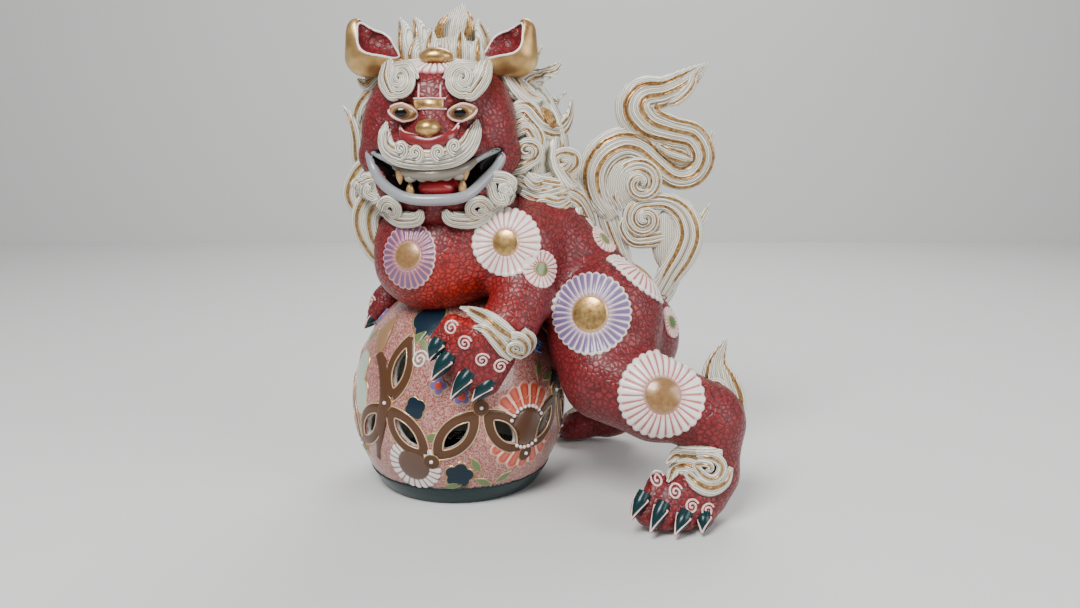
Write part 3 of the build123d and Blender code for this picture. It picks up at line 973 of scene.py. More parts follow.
# Locks all over the back of the mane, in rows that fall from the crown
locks = Heap()
BACK_ROWS = ((352, 7, 34), (322, 9, 40), (290, 10, 40), (258, 8, 38), (232, 6, 30))  # top height, locks, drop
BACK_LOCK = ((0, 5), (0.25, 8.5), (0.5, 9.5), (0.75, 8), (1.0, 1.2))  # share of the length, half width
for row, (z, count, length) in enumerate(BACK_ROWS):
    for i in range(count):
        share = (i + 0.5 * (row % 2)) / count
        bearing = math.radians(-14 + 208 * share)
        hub = vec(math.cos(bearing), math.sin(bearing), 0)
        swing = 0.16 if i % 2 else -0.16
        knots = []
        for t, w in BACK_LOCK:
            turn = bearing + swing * math.sin(2.6 * t)
            fall = z - length * t + 6 * math.sin(6.3 * t)
            knots.append((2 + 6.4 * row + 60 * math.cos(turn), 14 + 60 * math.sin(turn), fall, w))
        k, out = lay(mane_form, knots, -hub, 2.5)
        k[:, :3] += out * vec(0, 0, 1, 3, 6)[:, None]  # the tips stand off
        ribbon(locks, k, out, ridges=3, depth=0.36, thick=0.5, gold=(0.33, 0.67) if i % 3 else (0.5,),
               gold_width=0.09, step=1.4, around=32)
locks.make("mane_back_locks", FUR)

# Ears -------------------------------------------------------------------------------------------------
def ring_of(points, centre, count=56):
    """A closed smooth line through a cloud of rim points that circle a centre, as seen from the front."""
    angle = np.arctan2(points[:, 2] - centre[1], points[:, 0] - centre[0])
    slot = ((angle + math.pi) / (2 * math.pi) * count).astype(int) % count
    gap = np.full(3, np.nan)
    line = np.array([points[slot == k].mean(0) if (slot == k).any() else gap for k in range(count)])
    known = np.where(~np.isnan(line[:, 0]))[0]
    every = np.arange(count)
    line = np.stack([np.interp(every, known, line[known, k], period=count) for k in range(3)], 1)
    for _ in range(2):
        line = 0.5 * line + 0.25 * (np.roll(line, 1, 0) + np.roll(line, -1, 0))
    return np.vstack([line, line[:1]])


def ear(side, name):
    """A gilt cup like a fat curled leaf, lined with red, with a white line round its rim."""
    x = FACE_X + 1
    outer = union(
        8,
        egg((x + side * 57, -14, 357), (20.5, 17, 17.5), ("y", side * 30)),
        egg((x + side * 66, -16, 371), (9, 8, 13), ("y", side * 6)),
        egg((x + side * 40, -14, 349), (17, 11, 10), ("y", side * -20)),
    )
    inner = union(
        7,
        egg((x + side * 50, -29, 368), (14, 19, 11), ("y", side * 30)),
        egg((x + side * 60, -26, 379), (5.0, 12, 10), ("y", side * 6)),
        egg((x + side * 34, -29, 362), (18, 15, 10), ("y", side * -14)),
    )
    f = without(outer, 1.2, inner)
    a, b = sorted((x + side * 20, x + side * 84))
    v, q = net(f, (a, -40, 332), (b, 10, 392), mesh_step(1.0))
    lining = (np.abs(inner(v)) < np.abs(outer(v)))[q].mean(1) > 0.5  # faces nearer the cup's hollow
    Heap().add(v, [q[~lining]]).make(name + "_cup", GILT, name)
    Heap().add(v, [q[lining]], tone=0.0).make(name + "_lining", SKIN)
    rim = v[np.abs(inner(v)) + np.abs(outer(v)) < 1.6]
    line = ring_of(rim, (x + side * 52, 364))
    heap = Heap()
    pipe(heap, np.hstack([line, np.full((len(line), 1), 0.9)]), WHITE, around=10, step=0.8)
    heap.make(name + "_rim", (ENAMEL, "white_fur_glaze"))


ear(1, "left_ear")
ear(-1, "right_ear")

# Face -------------------------------------------------------------------------------------------------
EYE_RADII = (10.6, 8.2, 6.8)


def eye(side, name):
    """A gilt-cornered dark eye between almond lids."""
    centre = (FACE_X - 0.7 + side * 21.8, -71.5, 311)
    gaze = unit(vec(-0.10, -1, -0.06))

    def colours(d, off):
        rgb = np.tile(vec(0.30, 0.19, 0.09), (len(d), 1))
        iris, pupil = smoothstep(40, 36, off), smoothstep(28, 25, off)
        rgb = rgb * (1 - iris[:, None]) + vec(0.12, 0.06, 0.02) * iris[:, None]
        rgb = rgb * (1 - pupil[:, None]) + vec(0.001, 0.001, 0.002) * pupil[:, None]
        gold = smoothstep(46, 54, off) * smoothstep(100, 70, off)
        return rgb, gold * 0.75

    heap = Heap()
    dome(heap, centre, EYE_RADII, gaze, colours)
    heap.make(name + "_ball", EYE, name)
    lids = Heap()
    almond = []
    for k in range(25):
        a = 2 * math.pi * k / 24
        w = 10.4 * math.cos(a)
        h = 6.0 * math.sin(a) * (1 - 0.25 * abs(math.cos(a)))
        almond.append((centre[0] + w, 0, centre[2] + h + 0.14 * side * w, 0.95))
    k, out = lay(union(2, head_form, egg(centre, EYE_RADII)), almond, lift=0.4)
    pipe(lids, k, PINK)
    lids.make(name + "_lids", RELIEF)


eye(1, "left_eye")
eye(-1, "right_eye")

heap = Heap()
dome(heap, (FACE_X - 3, -83, 299.5), (9.6, 8.5, 7.0), (0, -1, 0), plain(GOLD, 1.0))
heap.make("nose_boss", GILT_RELIEF, "nose")
heap = Heap()
snout = [(-34, 299, 1.0), (-30, 293, 3.2), (-22, 290.5, 4.6), (-12, 288.5, 4.8), (-2, 291, 4.6),
         (4, 294.5, 3.2), (8, 301, 1.0)]
k, out = lay(head_form, front(snout), lift=2.0)
ribbon(heap, k, out, ridges=1, depth=0, thick=0.6, gold=(), colour=CRIMSON)
for offset in (3.9, -4.9):  # pale lines above and below the band
    line = [(x, z + offset * w / 4.8, 0.75) for x, z, w in snout]
    k, out = lay(head_form, front(line), lift=2.4)
    pipe(heap, k, PINK)
heap.make("nostril_band", (ENAMEL, "red_scale_glaze"))

heap = Heap()
bar = [(-22, 317, 3.4), (-12, 317.5, 3.6), (-2, 317, 3.4)]
k, out = lay(head_form, front(bar), lift=1.0)
ribbon(heap, k, out, ridges=1, depth=0, thick=0.5, gold=(0.5,), gold_width=0.9, colour=GOLD)
for a, b in (((-24, 321), (0, 321)), ((-24, 313.5), (0, 313.5)), ((-20, 331), (-20, 321)),
             ((-4, 331), (-4, 321))):
    line = [(a[0] + (b[0] - a[0]) * t, a[1] + (b[1] - a[1]) * t, 0.7) for t in (0, 0.33, 0.66, 1)]
    k, out = lay(head_form, front(line), lift=0.6)
    pipe(heap, k, PINK)
heap.make("bridge_bar", GILT_RELIEF)

for side, name in ((1, "left_brow"), (-1, "right_brow")):
    heap = Heap()
    x = FACE_X - 1.5
    stem = [(x + side * 39, 353, 1.2), (x + side * 36, 343, 6.5), (x + side * 33, 333, 8),
            (x + side * 27, 325, 6.5)]
    curl(heap, head_form, stem, (x + side * 21, 333), 8.2, 1.5, -70 if side > 0 else -110, -side, 5.0,
         lift=3.5, rise=4, ridges=4, depth=0.3, gold=(0.5,), gold_width=0.07)
    lock(heap, head_form, [(x + side * 33, 346, 2), (x + side * 26, 343, 6), (x + side * 16, 342, 5),
                           (x + side * 9, 334, 1)],
         lift=3.0, ridges=3, depth=0.3, gold=(), thick=0.6)
    heap.make(name + "_curl", FUR, name)

# Moustache: a band of four snails between two upturned leaves
heap = Heap()
lip_form = union(6, skull_form, egg((FACE_X - 2, -72, 281), (30, 12, 11)))
whiskers = [(-46, 304, 1.0), (-47, 294, 5.5), (-42, 284, 7.5), (-31, 279, 8), (-13, 277.5, 8), (4, 279.5, 8),
            (15, 286, 7.5), (20, 296, 5.5), (22, 306, 1.0)]
lock(heap, lip_form, whiskers, lift=1.5, ridges=6, depth=0.32, gold=(0.17,), gold_width=0.05, thick=0.5,
     around=72)
for x, z, hand in ((-31, 284.5, 1), (-20.5, 282.5, 1), (-5, 283, -1), (5.5, 286, -1)):
    curl(heap, lip_form, [], (x, z), 4.4, 1.4, -90, hand, 2.5, lift=5.5, rise=2.0, flat=True, ridges=2,
         depth=0.3, gold=(0.5,), gold_width=0.12, step=0.6, around=28)
heap.make("moustache_band", FUR, "moustache")

# Lips, gum, teeth, tongue
heap = Heap()
lower = [(FACE_X - 32, -62, 272, 1.6), (FACE_X - 42, -54, 277, 2.2), (FACE_X - 53, -46, 282, 3.4),
         (FACE_X - 49, -50, 267, 4.0), (FACE_X - 39, -62, 256, 4.2), (FACE_X - 22, -74, 248, 4.2),
         (FACE_X, -78, 246.5, 4.4), (FACE_X + 22, -74, 249, 4.2), (FACE_X + 36, -62, 260, 4.2),
         (FACE_X + 47, -50, 272, 4.0), (FACE_X + 51, -45, 285, 3.6), (FACE_X + 40, -54, 281, 2.8),
         (FACE_X + 28, -64, 274, 2.2)]
pipe(heap, lower, GREY, around=20)
heap.make("lip_roll", LIP, "lower_jaw")
heap = Heap()
pipe(heap, [(FACE_X - 31, -66, 271, 2.5), (FACE_X - 20, -75, 267, 4.2), (FACE_X, -80, 265.5, 4.6),
            (FACE_X + 20, -75, 269, 4.2), (FACE_X + 30, -66, 275, 2.5)], (0.22, 0.19, 0.15), around=20)
for i in range(5):
    x = FACE_X - 18 + i * 9
    dome(heap, (x, -79 + abs(i - 2) * 1.5, 262.5 + i * 0.4), (4.6, 3.5, 3.0), (0, -1, 0),
         plain((0.27, 0.24, 0.19)), 16, 24)
heap.make("gum_and_teeth", LIP, "upper_lip")

for name, spots, point in (
    ("upper_fangs", ((FACE_X - 26, -73, 268), (FACE_X + 23, -73, 271)), -1),
    ("lower_fangs", ((FACE_X - 19, -71, 250), (FACE_X + 20.5, -71, 253)), 1),
):
    heap = Heap()
    for x, y, z in spots:
        pipe(heap, [(x, y, z, 3.4), (x, y - 1, z + 5 * point, 2.9), (x, y - 1, z + 10 * point, 0.6)],
             (0.45, 0.27, 0.13), gold=0.55, around=16, step=0.6)
    heap.make(name + "_pair", (ENAMEL, "tooth_glaze"), name)
heap = Heap()
tongue_form = union(3, egg((FACE_X + 1, -58, 256), (15.5, 17, 8)), egg((FACE_X + 1, -66, 254), (15, 8, 6.5)))
v, q = net(tongue_form, (-28, -80, 244), (12, -38, 268), 1.6)
heap.add(v, [q], paint=vec(0.42, 0.014, 0.020), gold=0.0)
heap.make("tongue_block", (ENAMEL, "tongue_red"), "tongue")
LINING = 1.0  # the dark lining stands this far inside the mouth's wall


def throat_form(p):
    """The head's flesh round the mouth, which the lining covers on its inside."""
    return np.maximum(-(mouth_form(p) + LINING), solid_head(p) + 0.3)


v, q = net(throat_form, (-66, -86, 242), (48, -24, 292), mesh_step(1.6))
inner = (np.abs(mouth_form(v) + LINING) < 1.2)[q].all(1)
Heap().add(v, [q[inner]], paint=vec(0.006, 0.004, 0.004), gold=0.0).make("mouth_lining", (DARK, "eye_glaze"))

# Beard
chin_form = union(10, head_form, torso_form, mane_form)
for side, name in ((1, "left_beard"), (-1, "right_beard")):
    heap = Heap()
    x = FACE_X - 2
    style = dict(ridges=4, depth=0.32, gold=(0.5,), gold_width=0.06)
    curl(heap, chin_form, [(x + side * 8, 240, 2), (x + side * 12, 234, 6), (x + side * 24, 231, 7)],
         (x + side * 31, 240), 10, 1.5, -80 if side > 0 else -100, side, 5.6, lift=4, **style)
    curl(heap, chin_form, [(x + side * 36, 231, 4), (x + side * 48, 236, 6.5), (x + side * 57, 246, 6.5)],
         (x + side * 48, 253), 10, 1.5, 10 if side > 0 else 170, side, 5.6, lift=5, flat=True, **style)
    heap.make(name + "_curls", FUR, name)

# Forehead boss ----------------------------------------------------------------------------------------
def mix(a, b, t):
    """Colours from a to b, one row per share t."""
    t = np.asarray(t, float)[:, None]
    return np.asarray(a, float) * (1 - t) + np.asarray(b, float) * t


def scallops(angle, count):
    """A wave round a flower of so many petals: 0 between two petals, 1 on each."""
    return np.abs(np.sin(np.radians(angle) * count / 2))


def oval(angle, wide):
    """The share of a radius on an oval that is so many times as wide as it is high."""
    return np.hypot(wide * np.cos(np.radians(angle)), np.sin(np.radians(angle)))


BOSS_PETALS = 22
boss_spot = drop(head_form, vec(FACE_X, 0, 338)[None], unit(vec(0, 1, -0.25)))[0]
boss_way = unit(vec(0, 0.86, -0.50))


def boss_petals(share, angle):
    white = smoothstep(0.30, 0.6, scallops(angle, BOSS_PETALS)) * smoothstep(1.0, 0.92, share)
    rgb = mix((0.55, 0.12, 0.14), WHITE, white)
    return rgb, np.zeros(len(share))


heap = Heap()
patch(heap, head_form, boss_spot, boss_way, UP,
      lambda a: 20 * (1 + 0.05 * scallops(a, BOSS_PETALS)) * oval(a, 1.15),
      boss_petals, inner=10, rings=12, around=220,
      height=lambda s, a: 2.2 + 1.2 * scallops(a, BOSS_PETALS) ** 0.6)
dome(heap, boss_spot + vec(0, -3, 4), (13, 9, 7.5), -boss_way, plain(GOLD, 1.0))
heap.make("boss_flower", GILT_RELIEF, "forehead_boss")

# Paws -------------------------------------------------------------------------------------------------
def claw(heap, base, tip, width, face):
    """A dark pointed nail outlined with a pale line on the side that faces out."""
    base, tip, face = vec(*base), vec(*tip), unit(vec(*face))
    taper = ((-0.25, 0.9), (0.2, 1.0), (0.6, 0.72), (1, 0.12))
    pipe(heap, [(*(base + (tip - base) * t), w * width) for t, w in taper], TEAL, around=20, step=0.6)
    side = unit(np.cross(tip - base, face)) * width * 0.98
    corners = [base + side + face * width * 0.35, base - side + face * width * 0.35, tip + face * 0.6]
    for a, b in zip(corners, corners[1:] + corners[:1]):
        swell = face * width * 0.30
        line = [(*(a + (b - a) * t + swell * 4 * t * (1 - t)), 0.7) for t in (0, 0.33, 0.67, 1)]
        pipe(heap, line, PINK, around=8, step=0.6)


def spiral(heap, form, centre, radius, right=(1, 0, 0), up=UP, way=FRONT, turns=1.9, start=20, colour=PINK,
           lift=0.3, line=0.85, n=46, step=0.6):
    """A raised spiral line on a form, drawn in the plane of right and up and pushed along way."""
    k, out = lay(form, coil(centre, right, up, radius, turns, start, 1, line, n), way, lift)
    k[:, 3] = line
    pipe(heap, k, colour, around=8, step=step)


NEAR_NAIL = (-0.3, -0.85, 0.45)  # the way the outlined sides of the near feet's nails face
for foot, width, face, nails in (
    ("left_fore", 6.6, NEAR_NAIL, (
        ((-8, -86, 138), (-15, -90, 125)),
        ((-1, -91, 127), (-13, -96, 111.5)),
        ((14, -95, 114), (2, -100, 98)),
        ((30, -93, 108), (18, -97, 95.5)),
    )),
    ("right_fore", 5.0, (-0.85, -0.2, 0.45), (
        ((-74, 22, 140), (-82, 19, 130)),
        ((-77, 33, 134), (-86, 32, 124)),
        ((-71, 44, 132), (-79, 46, 122)),
    )),
    ("left_hind", 5.6, NEAR_NAIL, (
        ((146, -122, 28), (137, -130, 14)),
        ((160, -127, 22), (151, -136, 7)),
        ((177, -128, 16), (169, -137, 5)),
        ((193, -122, 13), (190, -131, 4)),
    )),
    ("right_hind", 5.0, (-0.8, -0.1, 0.6), (
        ((97, 82, 13), (88, 81, 6)),
        ((94, 97, 13), (85, 97, 6)),
        ((100, 110, 12), (91, 113, 5)),
    )),
):
    heap = Heap()
    for base, tip in nails:
        claw(heap, base, tip, width, face)
    heap.make(foot + "_nails", NAIL, foot + "_claws")

heap = Heap()
for x, z in ((2, 150), (13, 140.5), (26, 128), (39.5, 122.5)):
    spiral(heap, left_fore_form, (x, 0, z), 5.6)
for x, z in ((158, 39), (171, 32), (183, 22), (195, 18)):
    spiral(heap, left_hind_form, (x, 0, z), 5.2)
for y, z in ((22, 150), (33, 148), (43, 146)):
    spiral(heap, right_fore_form, (-60, y, z), 5, right=(0, -1, 0), way=(1, 0, 0))
for x, y in ((110, 84), (110, 96), (106, 106)):
    spiral(heap, right_hind_form, (x, y, 40), 5, right=(0, -1, 0), up=(0.8, 0, 0.6), way=(0.6, 0, -0.8))
heap.make("knuckle_rosettes", RELIEF)

CUFF = dict(ridges=3, depth=0.32, gold=(0.5,), gold_width=0.12)


def cuff(foot, form, middle, radius, start, lobes):
    """A wrist tuft seen from the front: a snail with pointed lobes fanned round it."""
    heap = Heap()
    for points in lobes:
        lock(heap, form, points, lift=2.0, thick=0.5, **CUFF)
    curl(heap, form, [], middle, radius, 1.6, start, -1, 4.6, lift=3.5, rise=3, step=0.8, **CUFF)
    heap.make(foot + "_tuft", FUR, foot + "_cuff")


cuff("left_fore", left_fore_form, (50, 138), 8.5, 110, (
    [(8, 163, 1), (18, 160, 4.5), (30, 157, 7), (42, 150, 7), (50, 145, 4)],
    [(20, 152, 1), (28, 151, 4), (36, 145, 6), (42, 136, 6), (47, 128, 3)],
    [(56, 150, 3), (61, 142, 5), (59, 132, 5), (52, 126, 2)],
))
cuff("left_hind", left_hind_form, (196, 48), 11.5, 120, (
    [(206, 58, 5), (195, 58, 7.5), (181, 54, 7.5), (165, 47, 1)],
    [(192, 46, 4), (183, 45, 7), (174, 41, 6), (165, 37, 1)],
    [(180, 42, 2), (187, 37, 6), (197, 34, 7), (208, 38, 5), (213, 48, 2)],
))


def side_cuff(foot, form, spot, way, radius):
    """A wrist tuft that faces any way: snail and three lobes in the plane across that way."""
    way, up = unit(way), UP
    right = unit(np.cross(way, up))
    heap = Heap()
    for a0 in (100, 150, 205):
        knots = []
        for t, w in ((0, 4), (0.35, 5.5), (0.7, 4.5), (1, 0.8)):
            a = math.radians(a0 + 26 * t)
            r = radius * (0.8 + 1.5 * t)
            p = vec(*spot) + right * r * math.cos(a) + up * r * math.sin(a)
            knots.append((*p, w))
        k, out = lay(form, knots, way, 2.0)
        ribbon(heap, k, out, thick=0.5, **CUFF)
    flat = coil(spot, right, up, radius, 1.6, 120, -1, 4.2, 34)
    k, out = lay(form, flat, way, 3.5)
    k[:, :3] += out * (3 * np.linspace(0, 1, len(k)) ** 0.8)[:, None]
    ribbon(heap, k, out, step=0.8, **CUFF)
    heap.make(foot + "_tuft", FUR, foot + "_cuff")


side_cuff("right_fore", right_fore_form, (-46, 62, 168), (0.35, -0.6, -0.6), 8.5)
side_cuff("right_hind", right_hind_form, (122, 78, 44), (0.9, 0.25, 0), 10)


def hock(side, spot, facing):
    """A flame-shaped tuft behind a hock: a leaf plate with a snail in its belly."""
    heap, n = Heap(), vec(0, facing, 0)
    x, y, z = spot
    leaf = [(11, -34, 3), (9, -20, 12), (4, -2, 17), (-1, 14, 15), (-3, 29, 8), (4, 47, 0.8)]
    ribbon(heap, [(x + a, y, z + c, w) for a, c, w in leaf], n, ridges=7, depth=0.3, thick=0.42, both=True,
           gold=(0.143, 0.857), gold_width=0.06, around=80)
    barb = [(-4, -20, 3), (-12, -6, 6), (-18, 6, 5), (-21, 18, 0.8)]
    ribbon(heap, [(x + a, y, z + c, w) for a, c, w in barb], n, ridges=3, depth=0.3, thick=0.7, both=True,
           gold=(0.33,), gold_width=0.1)
    k = coil((x - 6, y, z + 8), (1, 0, 0), (0, 0, 1), 8, 1.6, -60, 1, 4.2, 36)
    k[:, 1] += n[1] * (6 + 3 * np.linspace(0, 1, 36))
    ribbon(heap, k, n, ridges=2, depth=0.3, gold=(0.5,), gold_width=0.12, step=0.8)
    mass(heap, egg(spot, (12, 6, 24)), (x - 20, y - 10, z - 32), (x + 20, y + 10, z + 32), 2.0, 0.2, upright)
    heap.make(side + "_hock_tuft", FUR, side + "_hock_flame")


hock("left", (210, -75, 92), -1)
hock("right", (174, 76, 88), 1)

# Tail: three big scrolls of one combed plume, worked on both faces -----------------------------------
TAIL_Y = 10  # the plane of the tail
TAIL = dict(ridges=7, depth=0.26, both=True, gold=(0.286, 0.714), gold_width=0.035, around=72, step=1.2)


def scroll(heap, points, thick=0.62, y=TAIL_Y, **style):
    """A flat (x, z, half width) band in the tail's plane."""
    knots = front(points)
    knots[:, 1] = y
    ribbon(heap, knots, BACK, thick=thick, **{**TAIL, **style})


SNAIL = dict(both=False, ridges=4, around=56)


def snail(heap, centre, radius, turns, start, hand, width, stem, rise, **style):
    """A scroll's coil on both faces, each rising to its eye, after a stem in the tail's plane."""
    for face in (-1, 1):
        k = coil((centre[0], TAIL_Y, centre[1]), (1, 0, 0), UP, radius, turns, start, hand, width, 60)
        k[:, 1] += face * (2 + rise * np.linspace(0, 1, 60) ** 0.8)
        stalk = front(stem)
        stalk[:, 1] = TAIL_Y + 2 * face
        k = np.vstack([stalk, k])
        ribbon(heap, k, (0, face, 0), thick=0.75, **{**TAIL, **SNAIL, **style})


plume = Heap()
scroll(plume, [(131, 224, 6), (119, 242, 12), (115, 260, 15), (122, 276, 15.5), (137, 285, 15),
               (152, 283, 13.5), (165, 273, 12), (182, 260, 11.5), (197, 262, 12), (204, 276, 12),
               (196, 291, 12.5), (178, 296, 13), (160, 302, 16), (150, 314, 19), (155, 325, 16),
               (171, 328, 13), (186, 335, 11), (197, 343, 7), (208, 351, 1)],
       ridges=9, gold=(0.222, 0.556, 0.889), gold_width=0.07, around=96)
scroll(plume, [(166, 285, 2), (176, 279, 5), (188, 275, 5.5), (196, 273, 1)], y=3, ridges=3,
       gold=(0.17, 0.83), gold_width=0.12, thick=0.8)
scroll(plume, [(204, 268, 3), (211, 282, 4.5), (214, 297, 0.8)], y=15, ridges=3, gold=(0.34,),
       gold_width=0.08)
scroll(plume, [(172, 318, 2), (182, 322, 5), (192, 332, 5), (196, 342, 3), (203, 350, 0.8)], y=7, ridges=3,
       gold=(0.66,), gold_width=0.12, thick=0.9)
snail(plume, (153, 254), 17, 1.55, 188, -1, 8.0, stem=[(140, 232, 4), (135, 243, 7.5)], rise=9,
      gold=(0.25, 0.75), gold_width=0.08)
mass(plume, egg((142, TAIL_Y, 256), (24, 9, 24)), (112, -4, 226), (170, 24, 284), 2.4,
     lanes=lambda v: np.hypot(v[:, 0] - 154, v[:, 2] - 254))
plume.make("tail_plume", FUR, "tail_main_scroll", "tail_crest")

lower_lobe = Heap()
snail(lower_lobe, (157, 224), 13.5, 1.5, 92, 1, 6.8,
      stem=[(172, 160, 8), (181, 178, 11), (190, 194, 13), (195, 212, 13), (189, 229, 11), (175, 238, 8)],
      rise=8, gold=(0.25, 0.75), gold_width=0.07)
scroll(lower_lobe, [(178, 196, 5), (177, 208, 6), (162, 206, 7), (148, 206, 6), (140, 217, 5), (143, 228, 1)],
       y=7, ridges=4, gold=(0.25, 0.75), gold_width=0.08)
scroll(lower_lobe, [(198, 208, 3), (207, 222, 4.5), (214, 236, 0.8)], y=15, ridges=3, gold=(0.34,),
       gold_width=0.08)
mass(lower_lobe, egg((178, TAIL_Y, 206), (14, 7, 27)), (160, -4, 176), (196, 22, 236), 2.4, lanes=upright)
lower_lobe.make("tail_lower_lobe", FUR, "tail_lower_curl")

root = Heap()
scroll(root, [(166, 148, 8), (173, 160, 11), (180, 174, 10), (186, 186, 6)], ridges=4, gold=(0.25,),
       gold_width=0.08)
scroll(root, [(146, 174, 7), (138, 196, 8), (130, 216, 9), (124, 234, 8), (120, 246, 4)], y=TAIL_Y + 3,
       ridges=5, gold=(0.4,), gold_width=0.06)
root.make("tail_root_locks", FUR, "tail_root")

# Medallions -------------------------------------------------------------------------------------------
def flower(heap, form, spot, radius, core, petals, inks, core_inks, way=FRONT, squash=1.0):
    """A round many-petalled sprig laid on a form with a gilt or green middle.

    inks = (rim, petal, line between petals), core_inks = (middle, its edge, share of gilding). radius is as
    seen along way, squash its width share.
    """
    seat = drop(form, vec(*spot)[None], way)[0]
    facing = unit(gradient(form, seat[None]))[0]
    look = unit(unit(way) * 0.45 - facing * 0.55)
    rim, petal, line = inks

    def outline(a):
        return radius * (0.955 + 0.045 * scallops(a, petals)) * oval(a, squash)

    def colours(share, angle):
        body = smoothstep(0.30, 0.52, scallops(angle, petals))
        rgb = mix(line, petal, body)
        rgb = mix(rgb, rim, smoothstep(0.86, 0.93, share))
        deep = smoothstep(0.35, 0.0, share) * 0.45
        return mix(rgb, line, deep * body), np.zeros(len(share))

    def height(share, angle):
        return 0.5 + 1.1 * scallops(angle, petals) ** 0.6 + 0.35 * smoothstep(0.8, 0.95, share)

    patch(heap, form, seat, look, UP, outline, colours, inner=radius * core, rings=16, around=petals * 9,
          height=height)

    def core_colours(share, angle):
        edge = smoothstep(0.88, 0.95, share)
        return mix(core_inks[0], core_inks[1], edge), (1 - edge) * core_inks[2]

    patch(heap, form, seat, look, UP, radius * core * 1.03, core_colours, rings=12, around=80,
          height=lambda s, a: 1.3 + 0.9 * np.sqrt(np.maximum(0, 1 - s * s)))


IVORY = (0.80, 0.70, 0.64)
WHITE_PETALS = (IVORY, WHITE, (0.55, 0.12, 0.11))
ROSY_PETALS = (IVORY, WHITE, (0.68, 0.25, 0.22))
SMALL_PETALS = (PINK, IVORY, (0.55, 0.10, 0.09))
PURPLE_PETALS = (IVORY, (0.17, 0.12, 0.27), (0.78, 0.62, 0.62))
PLUM_PETALS = (PINK, (0.15, 0.07, 0.17), (0.60, 0.24, 0.20))
GILT_CORE, PALE_EDGED_CORE, BROWN_CORE = (GOLD, PINK, 1.0), (GOLD, IVORY, 1.0), (BROWN, PINK, 0.25)
GREEN_CORE = (LEAF, GOLD, 0.0)
for name, flowers in (
    ("chest_medallions", (
        ((-32, 0, 203), 26, 0.42, 26, PLUM_PETALS, BROWN_CORE, FRONT, 0.85),
        ((43, 0, 213), 27, 0.38, 26, ROSY_PETALS, PALE_EDGED_CORE),
        ((70, 0, 192), 15, 0.36, 20, SMALL_PETALS, GREEN_CORE),
    )),
    ("flank_medallions", (
        ((108, 0, 159), 32, 0.44, 32, PURPLE_PETALS, GILT_CORE),
        ((161, 0, 104), 33, 0.42, 30, WHITE_PETALS, BROWN_CORE),
        ((122, 0, 209), 13, 0.40, 18, SMALL_PETALS, GREEN_CORE),
        ((178, 0, 141), 13, 0.40, 18, SMALL_PETALS, GREEN_CORE, FRONT, 0.8),
    )),
    ("back_medallions", (
        ((150, -36, 184), 29, 0.40, 28, WHITE_PETALS, GILT_CORE, unit(vec(-0.40, 0.52, -0.75))),
        ((104, 0, 160), 30, 0.44, 28, PURPLE_PETALS, GILT_CORE, BACK),
        ((150, 0, 84), 24, 0.42, 28, WHITE_PETALS, (BROWN, PINK, 0.9), BACK),
        ((52, 0, 190), 24, 0.40, 28, ROSY_PETALS, PALE_EDGED_CORE, BACK),
        ((128, 0, 196), 13, 0.40, 28, SMALL_PETALS, GREEN_CORE, BACK),
    )),
):
    heap = Heap()
    for details in flowers:
        flower(heap, whole_body, *details)
    heap.make(name, RELIEF)

# The ball ---------------------------------------------------------------------------------------------
BELT = 14  # leaf-shaped piercings in the zigzag round the ball's waist
BELT_START = -113  # the first one's bearing in degrees
LEAF_HALF, LEAF_BULGE = 15, 6.0  # half a piercing's length and width
WINDOWS = [(BELT_START + i * 360 / BELT, 65, 42 if i % 2 == 0 else -42) for i in range(BELT)]
WINDOWS += [(bearing, 114, -8) for bearing in (-120, 60, 150)]  # (bearing, height, lean in degrees)
WALL = 6  # the ball's wall
FOOT_HEIGHT = 17.2


def ball_point(bearing, z):
    """A point of the ball's outside at a bearing in degrees and a height."""
    a = np.radians(bearing)
    r = BALL_R * np.sqrt(np.maximum(0.0, 1 - ((z - BALL_Z) / BALL_H) ** 2))
    return np.stack([r * np.cos(a), r * np.sin(a), z + 0 * r], -1)


def leaf_line(bearing, z, lean, grow, width, lift):
    """A piercing's outline, grown by so much, as knots on the ball from one tip round to the same tip."""
    half, bulge = LEAF_HALF + grow * 1.6, LEAF_BULGE + grow
    reach = (half * half + bulge * bulge) / (2 * bulge)
    t = np.linspace(-half, half, 28)
    w = np.sqrt(reach * reach - t * t) - (reach - bulge)
    u = np.concatenate([w, -w[::-1][1:]])
    s = np.concatenate([t, t[::-1][1:]])
    a = math.radians(lean)
    across, along = u * math.cos(a) - s * math.sin(a), u * math.sin(a) + s * math.cos(a)
    bearings = bearing + np.degrees(across / BALL_R)
    return on_ball(np.stack([bearings, z + along, np.full(len(u), width)], 1), lift)


def cutters(p):
    """Distance to the nearest leaf-shaped piercing."""
    best = np.full(len(p), 1e3)
    bearing = np.degrees(np.arctan2(p[:, 1], p[:, 0]))
    reach = (LEAF_HALF**2 + LEAF_BULGE**2) / (2 * LEAF_BULGE)  # the radius of a leaf's two arcs
    apart = reach - LEAF_BULGE
    for at, z, lean in WINDOWS:
        off = np.radians((bearing - at + 180) % 360 - 180) * BALL_R
        up = p[:, 2] - z
        a = math.radians(lean)
        u, s = off * math.cos(a) + up * math.sin(a), -off * math.sin(a) + up * math.cos(a)
        best = np.minimum(best, np.maximum(np.hypot(u - apart, s), np.hypot(u + apart, s)) - reach)
    return best


def ball_wall(p):
    """The pierced shell above the foot."""
    d = np.maximum(ball_form(p), -ball_inset(WALL)(p))
    d = np.maximum(d, 9.0 - p[:, 2])
    return carve(d, cutters(p), 1.2)


v, q = net(ball_wall, (-92, -92, 6), (92, 92, 176), mesh_step(1.5))
inside = ball_inset(2)(v) < 0  # unpainted white from just below the outside
shell = Heap().add(v, [q], cover=inside.astype(float), paint=vec(0.72, 0.70, 0.66))
shell.make("pierced_ball", GROUND, "ball_shell")


